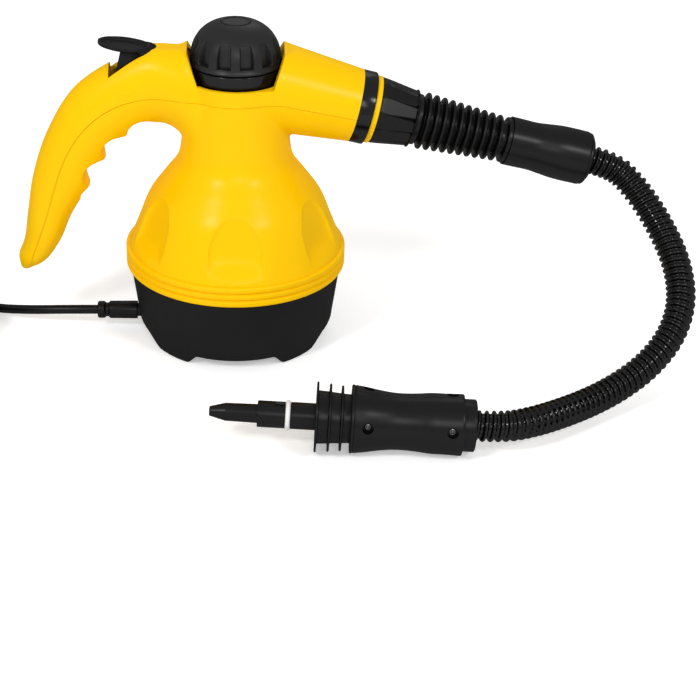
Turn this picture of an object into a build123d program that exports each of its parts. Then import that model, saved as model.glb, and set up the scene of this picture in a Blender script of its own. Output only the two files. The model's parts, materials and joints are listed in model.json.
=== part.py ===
# Handheld steam cleaner, millimetres, Z up. The origin is on the floor, on the axis of the
# round body, and X points towards the nozzle.
import os
from math import acos, asin, atan2, cos, degrees, pi, radians, sin, sqrt, tan

from build123d import *

os.makedirs("parts", exist_ok=True)

# Sizes that many pieces share
wall = 2.4
gap = 0.3
running_fit = 0.04
overrun = 1.0
steel_wall = 2.0

# Yellow casing: rim with its ridges, bell, collar round the cap
rim_r = 75.0
rim_low = 54.0
rim_tall = 14.0
rim_groove = 1.0
rim_ridges = 3
casing_top = 206.0
collar_share = 0.45333
# radius as a share of the rim's, height as a share of the way from the rim to the top
bell_shares = [
    (0.965, 0.0),
    (0.872, 0.125),
    (0.778, 0.25),
    (0.64, 0.355),
    (0.51, 0.455),
    (0.474, 0.56),
]
dent_count = 6
dent_depth = 3.4
dent_r = 62.0
dent_lean = 16.5
post_r = 4.6
post_share = 0.86
post_count = 4
post_tall = 34.0
screw_r = 1.7
screw_head_r = 3.0
screw_head_tall = 2.0
screw_head_sink = 6.0

# Nose and its outlet
nose_slope = 13.0
nose_axis_z = 185.3
nose_end_r = 24.0
nose_root_share = 0.87647
nose_start_share = 0.64706
nose_end = 81.1

# Handle: outer and inner line as shares of its reach and of the casing's top
handle_reach = 149.0
handle_half_wide = 17.5
handle_shares = [
    (-0.990, 0.236, -0.946, 0.228, 0.30),
    (-0.997, 0.272, -0.879, 0.255, 0.62),
    (-0.966, 0.330, -0.812, 0.320, 0.80),
    (-0.940, 0.437, -0.745, 0.427, 0.88),
    (-0.903, 0.573, -0.631, 0.558, 0.94),
    (-0.832, 0.714, -0.560, 0.648, 0.97),
    (-0.698, 0.864, -0.477, 0.706, 1.0),
    (-0.537, 0.946, -0.403, 0.740, 1.0),
    (-0.372, 1.000, -0.309, 0.750, 1.0),
    (-0.141, 0.966, -0.141, 0.757, 0.95),
]
hollow_from = 2
# Finger scallops cut across the handle's inner line, between its ridges
scallop_shares = [(-0.600, 0.575), (-0.520, 0.660), (-0.432, 0.712)]
scallop_end_share = -0.35
finger_r = 11.0
finger_depth = 5.0
# Parting line of the two casings along the handle, in the same shares
seam_shares = [
    (-0.950, 0.19),
    (-0.920, 0.296),
    (-0.886, 0.362),
    (-0.842, 0.451),
    (-0.805, 0.540),
    (-0.762, 0.627),
    (-0.695, 0.714),
    (-0.604, 0.785),
    (-0.501, 0.830),
    (-0.392, 0.852),
]
seam_z = 176.3
seam_start = 30.0

# Black bowl and its feet
bowl_share = 0.96533
bowl_low_share = 0.9
bowl_low = 4.5
bowl_round = 13.0
bowl_wall = 2.6
lip_tall = 6.0
foot_share = 0.82667
foot_in_share = 0.62667
foot_flare = 5.5
foot_tall = 20.0
foot_angle = 27.0

# Power cord where it leaves the bowl
cord_r = 3.25
cord_sides = 6
cord_z = 13.2
relief_r = 6.3
relief_long = 18.0
relief_neck_r = 4.9
relief_neck_long = 3.6
relief_ring_r = 6.1
relief_ring_long = 6.2
relief_grip = 3.0

# Boiler, heater and what is fixed to them
boiler_low = 22.0
flange_wide = 5.6
boiler_flange_z = 56.0
flange_thick = 2.2
gasket_thick = 1.5
dome_top = 101.0
dome_round = 24.0
bolt_edge = 2.6
bolt_r = 1.5
bolt_head_r = 2.4
bolt_head_tall = 2.0
bolt_count = 8
heater_r = 30.0
heater_wide = 7.0
heater_tall = 6.5
heater_sweep = 300.0
terminal_r = 1.6
terminal_long = 9.0
clamp_thick = 1.5
clamp_r = 37.0
stand_r = 34.0
switch_r = 8.0
switch_place = 12.5
block_long = 11.0
block_wide = 22.0
block_tall = 10.0
block_in = 18.5
saddle_long = 4.0
saddle_wide = 14.0

# Filler neck and the black collar round it
neck_r = 13.5
neck_bore_r = 11.0
neck_foot_r = 17.0
neck_foot_tall = 3.0
neck_top = 188.0
neck_lip_r = 16.0
neck_lip_tall = 4.0
basin_share = 0.88824
basin_low = 184.0
basin_top = 195.2
basin_wall = 2.2
notch_low = 186.5
notch_share = 0.72059
notch_top_share = 0.92941

# Cap
cap_low = 196.0
cap_share = 0.89118
cap_skirt = 2.0
cap_dome_share = 0.86765
cap_dome_tall = 27.0
cap_flat_share = 0.37333
cap_wall = 2.6
cap_rim_wall = 4.6
cap_hub_r = 9.3
cap_hub_wall = 2.2
scallop_count = 12
scallop_r = 8.0
scallop_depth = 2.3
inset_share = 0.85714
inset_deep = 1.6
inset_proud = 0.5
plug_low = 171.0
plug_flange_r = 18.0
plug_flange_tall = 3.0
seal_thick = 1.7
relief_bore_r = 5.4
relief_floor = 2.2
relief_hole_r = 3.0
relief_disc_tall = 2.4

# Trigger
slot_half = 9.5
slot_left = 82.0
slot_right = 51.0
slot_floor = 184.0
lever_gap = 0.7
lever_left = 77.9
lever_middle = 75.8
lever_middle_z = 196.3
lever_neck = 73.4
lever_low = 187.0
lever_top = 205.8
lever_wall = 2.0
pad_centre = 71.8
pad_half_long = 16.8
pad_half_wide = 12.2
pad_thick = 2.6
pad_top = 207.6
pad_tilt = 5.9
pad_dish_r = 95.0
pad_dish = 1.1
pin_x = 60.0
pin_z = 194.0
pin_r = 1.75
pin_half_long = 12.4
cheek_half = 4.5
cheek_low = 189.5
finger_x = 72.0
finger_half = 2.0
finger_low = 183.6
wire_r = 0.5
spring_turns = 4
trigger_spring_r = 4.0
trigger_spring_long = 8.0

# Steam valve under the trigger
valve_long = 13.0
valve_wide = 14.0
valve_low = 160.0
valve_top = 172.0
stem_r = 2.0
stem_low = 165.5
stem_travel = 2.27
stem_collar_r = 5.0
stem_collar_z = 179.6
stem_collar_tall = 1.2
stem_head_r = 3.0
stem_top = 183.3
valve_spring_r = 3.7
pipe_r = 2.5
pipe_bore_r = 1.5
inlet_x = 26.0
pipe_z = 168.0
pipe_side = 3.6
outlet_round = 24.0
outlet_angles = [160.0, 120.0, 60.0]

# Nozzle socket, adapter and hose grip, all along the nose's axis
socket_end = 90.7
socket_r = 24.3
socket_spigot_r = 21.2
socket_spigot_long = 8.0
socket_tube_r = 14.0
socket_bore_r = 11.0
socket_back = 57.0
socket_back_wall = 2.5
marker_r = 22.5
marker_end = 94.5
sleeve_start_r = 22.1
sleeve_end_r = 19.4
sleeve_end = 120.7
flute_count = 12
flute_wide = 1.8
flute_deep = 1.8
plug_body_r = 14.2
adapter_bore_r = 4.0
adapter_in = 62.0
guard_flange_r = 17.0
guard_flange_long = 3.0
guard_end = 187.0
guard_start_r = 19.05
guard_end_r = 15.7
rib_count = 10
rib_first = 128.0
rib_pitch = 5.65
rib_thick = 3.7
rib_deep = 4.0
grip_start_r = 16.4
grip_waist_r = 16.1
grip_end_r = 18.1
grip_end = 241.4
collar_end = 245.0
collar_end_r = 14.6
inner_tube_r = 5.0
inner_tube_bore_r = 3.5

# Ribbed hose between the adapter and the handpiece
hose_r = 9.9
hose_root_r = 8.6
hose_bore_r = 7.0
hose_lead = 17.5
hose_ribs = 48
rib_crest_share = 0.42
rib_flank_share = 0.16

# Handpiece, along its own axis from the tip
hand_tip_x = -15.5
hand_tip_y = -154.0
hand_turn = -3.37
hand_long = 165.2
tip_r = 2.95
tip_long = 10.0
stem_lance_r = 5.9
stem_end = 29.8
bayonet_r = 8.3
bayonet_end = 47.1
bayonet_slot_wide = 5.0
bayonet_slot_deep = 2.0
bayonet_slot_from = 40.5
ring_end = 50.3
ring_core_r = 6.6
ring_wire_r = 1.5
lance_r = 8.4
lance_bore_r = 1.8
lance_end = 104.0
fin_places = [68.0, 76.0, 83.2]
fin_radii = [22.0, 21.2, 20.2]
fin_thick = 1.3
hub_start_r = 17.6
hub_end_r = 15.2
hub_wall = 2.4
hand_grip_start = 90.2
hand_grip_r = 21.2
hand_waist = 115.0
hand_waist_r = 17.7
hand_grip_end = 157.2
hand_end_r = 19.3
hand_wall = 2.8
hand_collar_r = 16.4
hand_screw_front = 98.0
hand_screw_back = 150.0
hand_screw_count = 4
hand_screw_turn = 75.0
hand_screw_r = 3.0
hand_screw_sink = 2.2
core_r = 12.5
core_long = 8.0

# Put-away cord: the coil, its tie and the plug
coil_x = -224.0
coil_y = -22.0
coil_r_min = 27.0
coil_pitch = 7.4
coil_layer = 7.05
coil_layers = 4
coil_turns = 3
tie_wide = 12.0
tie_thick = 1.2
plug_r = 18.5
plug_long = 36.0
plug_neck_r = 6.5
plug_neck_long = 20.0
plug_pin_r = 2.4
plug_pin_long = 19.0
plug_pin_pitch = 19.0


# Sizes that follow the rim and the collar
collar_r = collar_share * rim_r
post_circle = post_share * rim_r - wall - post_r
bowl_r = bowl_share * rim_r
bowl_low_r = bowl_low_share * rim_r
foot_r = foot_share * rim_r
foot_in_r = foot_in_share * rim_r
block_x = bowl_low_r - block_in
boiler_flange_r = post_circle - post_r - gap
boiler_r = boiler_flange_r - flange_wide
bolt_circle = boiler_flange_r - bolt_edge
nose_root_r = nose_root_share * collar_r
nose_root = nose_start_share * collar_r
basin_r = basin_share * collar_r
notch_half = notch_share * collar_r
notch_top_half = notch_top_share * collar_r
cap_r = cap_share * collar_r
cap_dome_r = cap_dome_share * collar_r
cap_flat_r = cap_flat_share * cap_dome_r
inset_r = inset_share * cap_flat_r


# Solid turned about Z from (radius, height) points, with one rounding a corner if given
def spin(outline, rounding=None):
    if rounding is None:
        edge = Polyline(*outline, close=True)
    else:
        edge = FilletPolyline(*outline, radius=rounding, close=True)
    return revolve(Plane.XZ * make_face(edge), Axis.Z)


def ring(outer, inner, low, high):
    return spin([(inner, low), (outer, low), (outer, high), (inner, high)])


def rod(radius, low, high):
    return spin([(0, low), (radius, low), (radius, high), (0, high)])


def block(x0, x1, y0, y1, z0, z1):
    centre = Pos((x0 + x1) / 2, (y0 + y1) / 2, (z0 + z1) / 2)
    return centre * Box(x1 - x0, y1 - y0, z1 - z0)


# Copies of a piece turned about Z, the first one at the given angle
def around(piece, count, first=0.0):
    return [Rot(0, 0, first + i * 360 / count) * piece for i in range(count)]


# Helical spring standing on Z, square in section so that it stays light
def spring(radius, wire, low, high, turns):
    tall = high - low - 2 * wire
    line = Helix(pitch=tall / turns, height=tall, radius=radius)
    start = Plane(origin=line @ 0, x_dir=(1, 0, 0), z_dir=line % 0)
    coil = sweep(start * Rectangle(2 * wire, 2 * wire), path=line, is_frenet=True)
    return Pos(0, 0, low + wire) * coil


# Round tube or rod swept along straight runs joined by arcs
def bent(points, radius, bends):
    line = FilletPolyline(*points, radius=bends)
    return sweep(Plane(origin=line @ 0, z_dir=line % 0) * Circle(radius), path=line)


nose_cos = cos(radians(nose_slope))
nose_sin = sin(radians(nose_slope))
nose = Location(Plane((0, 0, nose_axis_z), x_dir=(nose_sin, 0, nose_cos), z_dir=(nose_cos, 0, -nose_sin)))


def on_nose(distance):
    return Vector(distance * nose_cos, 0, nose_axis_z - distance * nose_sin)


# Bell, from the rim's top up to the collar; inset makes the inside of the same form
def bell(inset, low, high):
    base = rim_low + rim_tall
    line = [(share * rim_r - inset, base + lift * (casing_top - base)) for share, lift in bell_shares]
    top_r = collar_r - inset
    shape = Spline(*line, (top_r, high), tangents=[(-0.45, 1), (0, 1)])
    outline = shape + Polyline((top_r, high), (0, high), (0, low), (line[0][0], low), line[0])
    return revolve(Plane.XZ * make_face(outline), Axis.Z)


# Scoops of the six arched dents, as leaning drums beside the bell
def dents(inset):
    base = rim_low + rim_tall
    reach = bell_shares[0][0] * rim_r - dent_depth - inset
    long = casing_top - base
    drum = Pos(0, 0, -long / 2) * rod(dent_r, 0, long)
    placed = Pos(reach, 0, base) * Rot(0, -dent_lean, 0) * Pos(dent_r, 0, 0) * drum
    return around(placed, dent_count, 270.0)


# Cone of the nose; inset makes its inside
def nose_cone(inset, start, end):
    lean = (nose_end_r - nose_root_r) / (nose_end - nose_root)
    start_r = nose_root_r + (start - nose_root) * lean - inset
    end_r = nose_root_r + (end - nose_root) * lean - inset
    return nose * spin([(0, start), (start_r, start), (end_r, end), (0, end)])


# Handle, lofted through oval sections; the hollow keeps clear of the finger scallops
def handle(inset, depth, stations):
    sections = []
    for ox, oz, ix, iz, wide in stations:
        under = depth if ix < scallop_end_share else 0
        outer = Vector(ox * handle_reach, 0, oz * casing_top)
        inner = Vector(ix * handle_reach, 0, iz * casing_top)
        across = (outer - inner).normalized()
        outer -= across * inset
        inner += across * (inset + under)
        place = Plane((outer + inner) * 0.5, x_dir=across, z_dir=across.cross(Vector(0, 1, 0)))
        sections.append(place * Ellipse((outer - inner).length / 2, wide * handle_half_wide - inset))
    return loft(sections)


# Everything above the parting line of the two casings
def above_seam():
    line = [(x * handle_reach, z * casing_top) for x, z in seam_shares]
    far = 2 * handle_reach
    joint = Spline(*line, (-seam_start, seam_z), tangents=[(0.1, 1), (1, 0)])
    end = on_nose(far)
    outline = (
        joint
        + Polyline(
            (-seam_start, seam_z),
            (seam_start, seam_z),
            (end.X, end.Z),
            (end.X, far),
            (-far, far),
            (-far, line[0][1]),
            line[0],
        )
    )
    return extrude(Plane.XZ * make_face(outline), far / 2, both=True)


def cap_well():
    return rod(collar_r - wall, basin_low - gap, casing_top + 2 * rim_tall)


def notch():
    high = casing_top + wall
    outline = Polyline(
        (-notch_half, notch_low),
        (notch_half, notch_low),
        (notch_top_half, high),
        (-notch_top_half, high),
        close=True,
    )
    return extrude(Plane.XZ * make_face(outline), rim_r, both=True)


# Plan of the trigger's slot or, smaller by the inset, of the lever in it
def slot_plan(left, inset):
    half = slot_half - inset
    end = slot_right + slot_half
    return Pos(-(left + end) / 2, 0) * Rectangle(left - end, 2 * half) + Pos(-end, 0) * Circle(half)


def trigger_slot():
    return Pos(0, 0, slot_floor) * extrude(slot_plan(slot_left, 0), casing_top)


# Finger scallops as drums lying across the handle
def finger_cuts():
    found = []
    ends = [(x * handle_reach, z * casing_top) for x, z in scallop_shares]
    for x, z in ends:
        found.append(Pos(x, 0, z) * Rot(90, 0, 0) * Cylinder(finger_r, rim_r))
    return found


# The whole yellow casing, hollow and open below, before it is parted
def casing():
    outer = bell(0, rim_low + rim_groove, casing_top)
    outer -= dents(0)
    ridge = rim_tall / rim_ridges
    rim = [(0, rim_low)]
    for i in range(rim_ridges):
        low = rim_low + i * ridge
        rim.append((rim_r - rim_groove, low))
        rim.append((rim_r, low + rim_groove))
        rim.append((rim_r, low + ridge - rim_groove))
    rim.append((rim_r - rim_groove, rim_low + rim_tall))
    rim.append((0, rim_low + rim_tall))
    outer += spin(rim)
    outer += nose_cone(0, 0, nose_end)
    grip = handle(0, 0, handle_shares)
    for cut in finger_cuts():
        grip -= cut
    outer += grip
    hollow = bell(wall, rim_low - overrun, casing_top + overrun)
    hollow -= dents(wall)
    hollow += nose_cone(wall, nose_root - wall, nose_end + overrun)
    hollow += handle(wall, finger_depth, handle_shares[hollow_from:])
    hollow += cap_well()
    hollow += rod(bell_shares[0][0] * rim_r - wall, rim_low - overrun, rim_low + lip_tall + gap)
    return outer, hollow


def cheeks(hollow):
    found = []
    for side in (-1, 1):
        near = side * slot_half
        far = side * handle_half_wide
        low_y, high_y = min(near, far), max(near, far)
        piece = block(-pin_x - cheek_half, -pin_x + cheek_half, low_y, high_y, cheek_low, pin_z + cheek_half)
        found.append(piece & hollow)
    return found


def across_pin(radius):
    return Pos(-pin_x, 0, pin_z) * Rot(90, 0, 0) * Cylinder(radius, 2 * handle_half_wide)


# Upright piece at the four post places
def at_posts(low, high, radius):
    return around(Pos(post_circle, 0) * rod(radius, low, high), post_count, 45.0)


# Screw posts of the lower casing that meet those of the bowl
def casing_posts(hollow):
    found = []
    for post in at_posts(rim_low, rim_low + post_tall, post_r):
        found.append(post & hollow)
    return found


def valve_post(hollow):
    foot = block(
        -finger_x - valve_long / 2,
        -finger_x + valve_long / 2,
        -valve_wide / 2,
        valve_wide / 2,
        valve_low - 2 * valve_long,
        valve_low,
    )
    return foot & hollow


def casings():
    outer, hollow = casing()
    shell = outer - hollow - notch() - trigger_slot()
    upper_side = above_seam()
    upper = shell & upper_side
    for cheek in cheeks(hollow):
        upper += cheek
    upper -= across_pin(pin_r + running_fit)
    lower = shell - upper_side
    for post in casing_posts(hollow):
        lower += post
    for bore in at_posts(rim_low - overrun, rim_low + post_tall / 2, screw_r + running_fit):
        lower -= bore
    lower += valve_post(hollow)
    return upper, lower


def base_bowl():
    low = bowl_low
    lip_r = bell_shares[0][0] * rim_r - wall - gap
    high = rim_low + lip_tall
    body = spin(
        [(0, low), (bowl_low_r, low), (bowl_r, rim_low), (lip_r, rim_low), (lip_r, high), (0, high)],
        [0, bowl_round, 0, 0, 0, 0],
    )
    feet = spin([(foot_in_r, 0), (foot_r, 0), (foot_r + foot_flare, foot_tall), (foot_in_r, foot_tall)])
    sector = extrude(
        make_face(
            Polyline(
                (0, 0),
                (rim_r, -rim_r * tan(radians(foot_angle / 2))),
                (rim_r, rim_r * tan(radians(foot_angle / 2))),
                close=True,
            )
        ),
        foot_tall,
    )
    for wedge in around(sector, post_count, 45.0):
        body += feet & wedge
    inner_r = bowl_low_r - bowl_wall
    mouth_r = lip_r - bowl_wall
    high += overrun
    body -= spin(
        [(0, low + bowl_wall), (inner_r, low + bowl_wall), (mouth_r, rim_low), (mouth_r, high), (0, high)],
        [0, bowl_round - bowl_wall, 0, 0, 0],
    )
    for post in at_posts(low, rim_low - gap, post_r):
        body += post
    clamp_low = boiler_low - heater_tall - clamp_thick
    body += ring(stand_r, stand_r - bowl_wall, low, clamp_low)
    for bore in at_posts(-overrun, rim_low + overrun, screw_r + running_fit):
        body -= bore
    for sink in at_posts(-overrun, low + screw_head_sink, screw_head_r + gap):
        body -= sink
    body -= Pos(-bowl_low_r, 0, cord_z) * Rot(0, 90, 0) * Cylinder(relief_neck_r, 4 * relief_neck_r)
    return body


def base_screws():
    found = Part()
    head_top = bowl_low + screw_head_sink
    for tool in at_posts(head_top - screw_head_tall, head_top, screw_head_r):
        found += tool
    for tool in at_posts(head_top, rim_low + post_tall / 2, screw_r):
        found += tool
    return found


def bolts(low, high, radius):
    return around(Pos(bolt_circle, 0) * rod(radius, low, high), bolt_count, 22.5)


def boiler_cup():
    r = boiler_r
    in_r = r - steel_wall
    top = boiler_flange_z + flange_thick
    body = spin(
        [
            (0, boiler_low),
            (r, boiler_low),
            (r, boiler_flange_z),
            (boiler_flange_r, boiler_flange_z),
            (boiler_flange_r, top),
            (in_r, top),
            (in_r, boiler_low + steel_wall),
            (0, boiler_low + steel_wall),
        ],
        [0, steel_wall + 1.5 * steel_wall, 0, 0, 0, 0, 1.5 * steel_wall, 0],
    )
    for bore in bolts(boiler_flange_z - overrun, top + overrun, bolt_r + running_fit):
        body -= bore
    return body


dome_low = boiler_flange_z + flange_thick + gasket_thick


def boiler_gasket():
    body = ring(boiler_flange_r, boiler_r - steel_wall, boiler_flange_z + flange_thick, dome_low)
    for bore in bolts(boiler_flange_z, dome_low + overrun, bolt_r + running_fit):
        body -= bore
    return body


def boiler_dome():
    r = boiler_r
    in_r = r - steel_wall
    roof = dome_top - steel_wall
    body = spin(
        [
            (in_r, dome_low),
            (boiler_flange_r, dome_low),
            (boiler_flange_r, dome_low + flange_thick),
            (r, dome_low + flange_thick),
            (r, dome_top),
            (neck_bore_r, dome_top),
            (neck_bore_r, roof),
            (in_r, roof),
        ],
        [0, 0, 0, 0, dome_round, 0, 0, dome_round - steel_wall],
    )
    for bore in bolts(dome_low - overrun, dome_low + flange_thick + overrun, bolt_r + running_fit):
        body -= bore
    return body - Pos(-inlet_x, 0, 0) * rod(pipe_bore_r, roof - overrun, dome_top + overrun)


def boiler_bolts():
    found = Part()
    top = dome_low + flange_thick
    for tool in bolts(boiler_flange_z, top, bolt_r) + bolts(top, top + bolt_head_tall, bolt_head_r):
        found += tool
    for tool in bolts(boiler_flange_z - bolt_head_tall, boiler_flange_z, bolt_head_r):
        found += tool
    return found


def heater_coil():
    low = boiler_low - heater_tall
    middle = low + heater_tall / 2
    section = Pos(heater_r, middle) * RectangleRounded(heater_wide, heater_tall, heater_tall / 3)
    body = revolve(Plane.XZ * section, Axis.Z, revolution_arc=heater_sweep)
    for turn, way in ((0.0, -1), (heater_sweep, 1)):
        pin = Pos(heater_r, 0, middle) * Rot(-90 * way, 0, 0) * rod(terminal_r, 0, terminal_long)
        body += Rot(0, 0, turn) * pin
    return Rot(0, 0, 180 + (360 - heater_sweep) / 2) * body


def heater_clamp():
    low = boiler_low - heater_tall - clamp_thick
    return ring(clamp_r, clamp_r / 4, low, low + clamp_thick)


# Control and safety switch: a stepped can under the boiler's floor
def switch_can(side):
    low = boiler_low - heater_tall
    body = spin(
        [
            (0, low),
            (0.6 * switch_r, low),
            (0.6 * switch_r, low + heater_tall / 3),
            (switch_r, low + heater_tall / 3),
            (switch_r, boiler_low),
            (0, boiler_low),
        ]
    )
    return Pos(0, side * switch_place, 0) * body


def terminal_block():
    floor = bowl_low + bowl_wall
    body = block(-block_x, -block_x + block_long, -block_wide / 2, block_wide / 2, floor, floor + block_tall)
    hole = rod(screw_r, floor + block_tall / 2, rim_low)
    for i in (-1, 0, 1):
        body -= Pos(-block_x + block_long / 2, i * block_wide / 3, 0) * hole
    return body


# Saddle that holds the cord down on the bowl's floor
def cord_clamp():
    floor = bowl_low + bowl_wall
    x = -block_x - saddle_long - gap
    body = block(x, x + saddle_long, -saddle_wide / 2, saddle_wide / 2, floor, cord_z + cord_r + bowl_wall)
    return body - Pos(x, 0, cord_z) * Rot(0, 90, 0) * Cylinder(cord_r + running_fit, 4 * saddle_long)


# The cord's end inside the bowl, from the sleeve to the terminals
def inner_lead():
    start = bowl_low_r - relief_grip - bowl_wall
    return Pos(-start, 0, cord_z) * Rot(0, 90, 0) * rod(cord_r, 0, start - block_x)


def strain_relief():
    inside = bowl_low_r - relief_grip - bowl_wall
    outside = bowl_low_r + relief_grip / 2
    neck = outside + relief_long
    bead = neck + relief_neck_long
    end = bead + relief_ring_long
    body = spin(
        [
            (0, inside),
            (relief_neck_r - gap, inside),
            (relief_neck_r - gap, outside),
            (relief_r, outside),
            (relief_r - gap, neck),
            (relief_neck_r, neck),
            (relief_neck_r, bead),
            (relief_ring_r, bead),
            (relief_ring_r, end),
            (0, end),
        ],
        [0, 0, 0, gap, 2 * gap, 0, 0, 2 * gap, 4 * gap, 0],
    )
    return Pos(0, 0, cord_z) * Rot(0, -90, 0) * body


relief_end = bowl_low_r + relief_grip / 2 + relief_long + relief_neck_long + relief_ring_long


def filler_neck():
    return spin(
        [
            (neck_bore_r, dome_top),
            (neck_foot_r, dome_top),
            (neck_foot_r, dome_top + neck_foot_tall),
            (neck_r, dome_top + neck_foot_tall),
            (neck_r, neck_top - neck_lip_tall),
            (neck_lip_r, neck_top - neck_lip_tall),
            (neck_lip_r, neck_top),
            (neck_bore_r, neck_top),
        ]
    )


def filler_collar():
    low = basin_low
    floor = low + basin_wall
    return spin(
        [
            (neck_lip_r + gap / 3, low),
            (basin_r, low),
            (basin_r, basin_top),
            (basin_r - basin_wall, basin_top),
            (basin_r - basin_wall, floor),
            (neck_lip_r + gap / 3, floor),
        ],
        [0, basin_wall, basin_wall / 3, basin_wall / 3, basin_wall / 2, 0],
    )


def cap_shell():
    inner_a = cap_dome_r - cap_wall
    inner_b = cap_dome_tall - cap_wall
    dome_z = cap_low + cap_skirt
    angle = degrees(acos(cap_flat_r / cap_dome_r))
    roof = dome_z + cap_dome_tall * sin(radians(angle))
    outline = (
        Polyline((0, roof), (cap_flat_r, roof))
        + EllipticalCenterArc((0, dome_z), cap_dome_r, cap_dome_tall, arc_size=angle)
        + Polyline((cap_dome_r, dome_z), (cap_r, dome_z - cap_skirt / 2), (cap_r, cap_low), (0, cap_low))
        + Line((0, cap_low), (0, roof))
    )
    body = revolve(Plane.XZ * make_face(outline), Axis.Z)
    drum = Pos(cap_r + scallop_r - scallop_depth, 0) * rod(scallop_r, dome_z, roof)
    for scoop in around(drum, scallop_count, 15.0):
        body -= scoop
    hollow = revolve(
        Plane.XZ
        * make_face(
            Polyline((0, dome_z), (inner_a, dome_z))
            + EllipticalCenterArc((0, dome_z), inner_a, inner_b, arc_size=90)
            + Polyline((0, dome_z + inner_b), (0, dome_z))
        ),
        Axis.Z,
    )
    hollow &= rod(cap_r - cap_rim_wall, cap_low, roof - cap_wall - inset_deep)
    hollow += rod(cap_r - cap_rim_wall, cap_low - overrun, dome_z + overrun)
    hollow -= ring(cap_hub_r + cap_hub_wall, cap_hub_r, cap_low, roof)
    return body - hollow - rod(inset_r + gap, roof - inset_deep, roof + overrun)


cap_roof = cap_low + cap_skirt + cap_dome_tall * sqrt(1 - (cap_flat_r / cap_dome_r) ** 2)


def cap_inset():
    low = cap_roof - inset_deep
    top = cap_roof + inset_proud
    rim = inset_r - 2 * inset_proud
    return spin(
        [
            (0, low),
            (inset_r, low),
            (inset_r, top),
            (rim, top),
            (rim - inset_proud, top - inset_proud),
            (0, top - inset_proud),
        ]
    )


plug_low_z = neck_top + seal_thick


def cap_plug():
    top = plug_low_z + plug_flange_tall
    bore_top = plug_low_z - relief_floor
    body = spin(
        [
            (0, plug_low),
            (neck_bore_r - 2 * gap, plug_low),
            (neck_bore_r - 2 * gap, plug_low_z),
            (plug_flange_r, plug_low_z),
            (plug_flange_r, top),
            (cap_hub_r - gap, top),
            (cap_hub_r - gap, cap_roof - cap_wall - inset_deep),
            (0, cap_roof - cap_wall - inset_deep),
        ]
    )
    body -= rod(relief_bore_r, plug_low + relief_floor, bore_top)
    return body - rod(relief_hole_r, plug_low - overrun, plug_low + relief_floor + overrun)


def cap_seal():
    return ring(plug_flange_r - seal_thick, neck_bore_r, neck_top, plug_low_z)


def relief_disc():
    low = plug_low + relief_floor
    return spin(
        [
            (0, low),
            (relief_bore_r - gap, low),
            (relief_bore_r - gap, low + relief_disc_tall),
            (relief_bore_r / 2, low + relief_disc_tall),
            (0, low + relief_disc_tall + relief_bore_r / 2),
        ]
    )


def relief_spring():
    low = plug_low + relief_floor + relief_disc_tall
    return spring(relief_bore_r - 2 * gap - wire_r, wire_r, low, plug_low_z - relief_floor, spring_turns)


# Thumb pad: a tilted oval dish on a hollow leg whose left face leans under it
def trigger_lever():
    tall = lever_top - lever_low
    skirt = Pos(0, 0, lever_low) * extrude(slot_plan(lever_left, lever_gap), tall)
    lean = ThreePointArc((-lever_left, lever_low), (-lever_middle, lever_middle_z), (-lever_neck, lever_top))
    skirt -= extrude(
        Plane.XZ
        * make_face(
            lean + Polyline((-lever_neck, lever_top), (-lever_left, lever_top), (-lever_left, lever_low))
        ),
        slot_half,
        both=True,
    )
    inside = slot_plan(lever_neck - lever_wall, lever_gap + lever_wall)
    skirt -= Pos(0, 0, lever_low - overrun) * extrude(inside, tall - lever_wall + overrun)
    oval = Ellipse(pad_half_long, pad_half_wide)
    pad = Pos(0, 0, -pad_thick) * extrude(oval, pad_thick)
    pad = fillet(pad.edges().sort_by(Axis.Z)[:1], pad_thick / 2)
    pad -= Pos(0, 0, pad_dish_r - pad_dish) * Sphere(pad_dish_r)
    body = skirt + Pos(-pad_centre, 0, pad_top) * Rot(0, pad_tilt, 0) * pad
    high = lever_top - lever_wall / 2
    half = slot_half / 2
    body += block(-finger_x - finger_half, -finger_x + finger_half, -half, half, finger_low, high)
    return body - across_pin(pin_r + running_fit)


def trigger_pin():
    return Pos(-pin_x, 0, pin_z) * Rot(90, 0, 0) * Cylinder(pin_r, 2 * pin_half_long)


def trigger_spring():
    half = trigger_spring_long / 2
    coil = spring(trigger_spring_r, wire_r, -half, half, spring_turns)
    return Pos(-pin_x, 0, pin_z) * Rot(90, 0, 0) * coil


def steam_valve():
    body = block(
        -finger_x - valve_long / 2,
        -finger_x + valve_long / 2,
        -valve_wide / 2,
        valve_wide / 2,
        valve_low,
        valve_top,
    )
    bore = rod(stem_r + running_fit, stem_low - 2 * stem_travel, valve_top + overrun)
    return body - Pos(-finger_x, 0, 0) * bore


def valve_stem():
    collar_top = stem_collar_z + stem_collar_tall
    head = stem_top - stem_collar_tall
    body = spin(
        [
            (0, stem_low),
            (stem_r, stem_low),
            (stem_r, stem_collar_z),
            (stem_collar_r, stem_collar_z),
            (stem_collar_r, collar_top),
            (stem_r, collar_top),
            (stem_r, head),
            (stem_head_r, head),
            (stem_head_r, stem_top),
            (0, stem_top),
        ]
    )
    return Pos(-finger_x, 0, 0) * body


def valve_spring():
    return Pos(-finger_x, 0, 0) * spring(valve_spring_r, wire_r, valve_top, stem_collar_z, spring_turns)


def pipe(points, bends):
    return bent(points, pipe_r, bends) - bent(points, pipe_bore_r, bends)


def inlet_pipe():
    face = -finger_x + valve_long / 2
    turn = 4 * pipe_r
    points = [
        (-inlet_x, 0, dome_top),
        (-inlet_x, 0, pipe_z - turn),
        (-inlet_x - turn, -pipe_side, pipe_z),
        (face, -pipe_side, pipe_z),
    ]
    return pipe(points, [turn / 2, turn / 2])


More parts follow.
